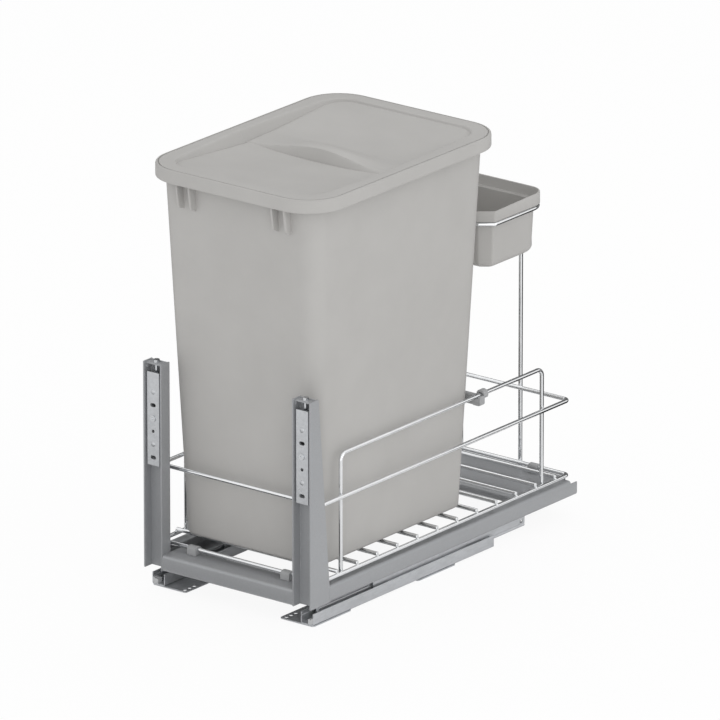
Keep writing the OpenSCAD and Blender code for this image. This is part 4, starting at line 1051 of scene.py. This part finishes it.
def holed_plate(low, high, middle, hole_r):
    """Rings from the plate's edge to a round hole and back below; each spoke ends on a side."""
    around = np.array([[x, y] for x in (low[0], high[0]) for y in (low[1], high[1])]) - middle
    even = np.linspace(-np.pi, np.pi, 40, endpoint=False)
    turn = np.sort(np.concatenate([even, np.arctan2(around[:, 1], around[:, 0])]))
    spoke = np.stack([np.cos(turn), np.sin(turn)], -1)
    spoke = np.where(np.abs(spoke) < 1e-9, 1e-9, spoke)
    sides = np.where(spoke > 0, high[:2] - middle, low[:2] - middle)
    outer = middle + (sides / spoke).min(1, keepdims=True) * spoke
    inner = middle + hole_r * spoke
    rings = [level(outer, high[2]), level(inner, high[2])]
    rings += [level(inner, low[2]), level(outer, low[2])]
    return grid(np.array(rings), close_rows=True, close_columns=True)


def turned(profile, centre):
    """A profile of (radius, height to the front) turned round a line along Y through the centre."""
    radius, height = np.array(profile, float).T[:, :, None]
    turn = np.linspace(0, 2 * np.pi, 28, endpoint=False)[None, :]
    skin = np.stack([radius * np.cos(turn), -height + 0 * turn, radius * np.sin(turn)], -1)
    return grid(skin + centre, close_columns=True)


rivet = [
    (0, 1.0), (0.8, 0.97), (1.6, 0.84), (2.3, 0.58), (2.8, 0.22), (2.9, 0),
    (1.9, 0), (1.9, -4.6), (0, -4.6),
]
for hand in ("left", "right"):
    block, rivets = hand + "_adjuster_block", hand + "_plate_rivets"
    low, high = box_of(block)
    screw, cap_low = box_of(hand + "_adjuster_screw").mean(0), high[2] - cap_t
    shapes = [holed_plate(np.array([low[0], low[1], cap_low]), high, screw[:2], screw_hole_r)]
    for x in (low[0], high[0] - cheek_t):
        cheek = [(x, low[2]), (x + cheek_t, low[2]), (x + cheek_t, cap_low), (x, cap_low)]
        shapes.append(pushed(cheek, 1, low[1], high[1]))
    cap = piece(hand + "_adjuster_cap", shapes, "painted_steel", "frame", [block], mould_crisp)
    broken_edges(cap, cap_edge)
    low, high = box_of(rivets)
    x, y = (low[0] + high[0]) / 2, box_of(hand + "_door_plate")[0][1]
    heads = [turned(rivet, (x, y, z)) for z in (low[2] + rivet_inset, high[2] - rivet_inset)]
    piece(rivets + "_set", heads, "zinc_steel", body_of[rivets], [rivets])

# %% [markdown]
# ## The studio
# The photograph has even, soft light from all round and a white ground with a faint shadow. A white
# world gives that light, and soft lamps at the front, at the right and high behind give the faces
# their slight difference. Dark cards on the floor and a grey screen behind, seen only in
# reflections, draw the dark edges of the chrome, as they do in a photographer's studio.

# %% Sheets and paper
def sheet_of(name, rows, build):
    """A stage piece from rows of points."""
    points, blocks = grid(np.asarray(rows, float))
    mesh = bpy.data.meshes.new(name)
    mesh.from_pydata(points.tolist(), [], blocks[0].tolist())
    made = placed(mesh)
    mesh.materials.append(finish(name, build))
    return made


def rays_of(start):
    """Three sockets, each 1 for its own rays: from the camera, from a mirror, through glass."""
    kinds = ("Is Camera Ray", "Is Glossy Ray", "Is Transmission Ray")
    return [start.node("ShaderNodeLightPath", out=kind) for kind in kinds]


def paper(cloud_mm, share, first, second):
    """Returns a build function for matt paper, clouded between two greys."""

    def build(spot):
        pale = (noise(spot, cloud_mm) * share).colours(grey(first), grey(second))
        return spot.node("ShaderNodeBsdfDiffuse", inputs={"Color": pale})

    return build


def pale_ground(spot):
    ground = paper(400.0, 0.2, 0.95, 0.93)(spot)
    white = spot.node("ShaderNodeEmission", inputs={"Color": grey(1.0), "Strength": 1.0})
    camera_ray, mirror_ray, glass_ray = rays_of(spot)
    share = 0.92 * (camera_ray + glass_ray) + 0.1 * mirror_ray
    return spot.node("ShaderNodeMixShader", inputs={0: share, 1: ground, 2: white})


def flat_sheet(name, x0, x1, y0, y1, z, build):
    """A level sheet between two X and two Y places."""
    return sheet_of(name, [[(x0, y0, z), (x0, y1, z)], [(x1, y0, z), (x1, y1, z)]], build)


def round_screen(name, spread_deg, distance, height, build):
    """An upright screen bent round the object's middle, behind it as the camera sees it."""
    turn = np.radians(np.linspace(-spread_deg, spread_deg, 25))[:, None]
    foot_line = distance * (np.sin(turn) * right - np.cos(turn) * flat)
    return sheet_of(name, np.stack([foot_line, foot_line + [0.0, 0.0, height]], 1), build)


# %% Floor and cards
floor_z, card_z, dark_card = -2e-4, 4e-4, paper(200.0, 0.5, 0.02, 0.05)
flat_sheet("floor", -6.0, 6.0, -6.0, 6.0, floor_z, pale_ground)
cards = [
    flat_sheet("rear_card", -1.2, 1.0, 0.36, 1.7, card_z, dark_card),
    flat_sheet("left_card", -1.3, -0.24, -0.2, 0.36, card_z, dark_card),
    flat_sheet("front_card", -0.6, 0.12, -0.52, -0.28, card_z, dark_card),
    round_screen("rear_screen", 62.0, 2.4, 2.2, paper(300.0, 1.0, 0.14, 0.2)),
]
for card in cards:
    card.visible_camera = card.visible_diffuse = False
    card.visible_shadow = card.visible_transmission = False

# %% Lamps
lamp_distance, lamp_size, middle_z = 2.6, 1.6, 0.25


def soft_lamp(name, compass, height_deg, watts):
    """A square lamp on a sphere round the object's middle, turned towards it."""
    lamp = bpy.data.lights.new(name, "AREA")
    lamp.shape, lamp.size, lamp.energy = "SQUARE", lamp_size, watts
    a, e = math.radians(compass), math.radians(height_deg)
    ray = np.array([math.sin(a) * math.cos(e), -math.cos(a) * math.cos(e), math.sin(e)])
    side = np.array([math.cos(a), math.sin(a), 0.0])
    place = ray * lamp_distance + np.array([0.0, 0.0, middle_z])
    placed(lamp).matrix_world = pose_of([side, np.cross(ray, side), ray], place)


soft_lamp("front_lamp", 45.0, 12.0, 6.5)
soft_lamp("right_lamp", 95.0, 15.0, 5.5)
soft_lamp("top_lamp", 218.0, 65.0, 7.5)

# %% World
world = bpy.data.worlds.new("studio")
scene.world = world
world.use_nodes = True
world.node_tree.nodes.clear()
sky = Socket(world.node_tree)
ambient = 0.82
camera_ray, mirror_ray, glass_ray = rays_of(sky)
seen = sky.math("MINIMUM", camera_ray + mirror_ray + glass_ray, 1.0)
strength = ambient + (1.0 - ambient) * seen
glow = sky.node("ShaderNodeBackground", inputs={"Color": grey(1.0), "Strength": strength})
glow.node("ShaderNodeOutputWorld", inputs={"Surface": glow})
scene.view_settings.view_transform = "Standard"
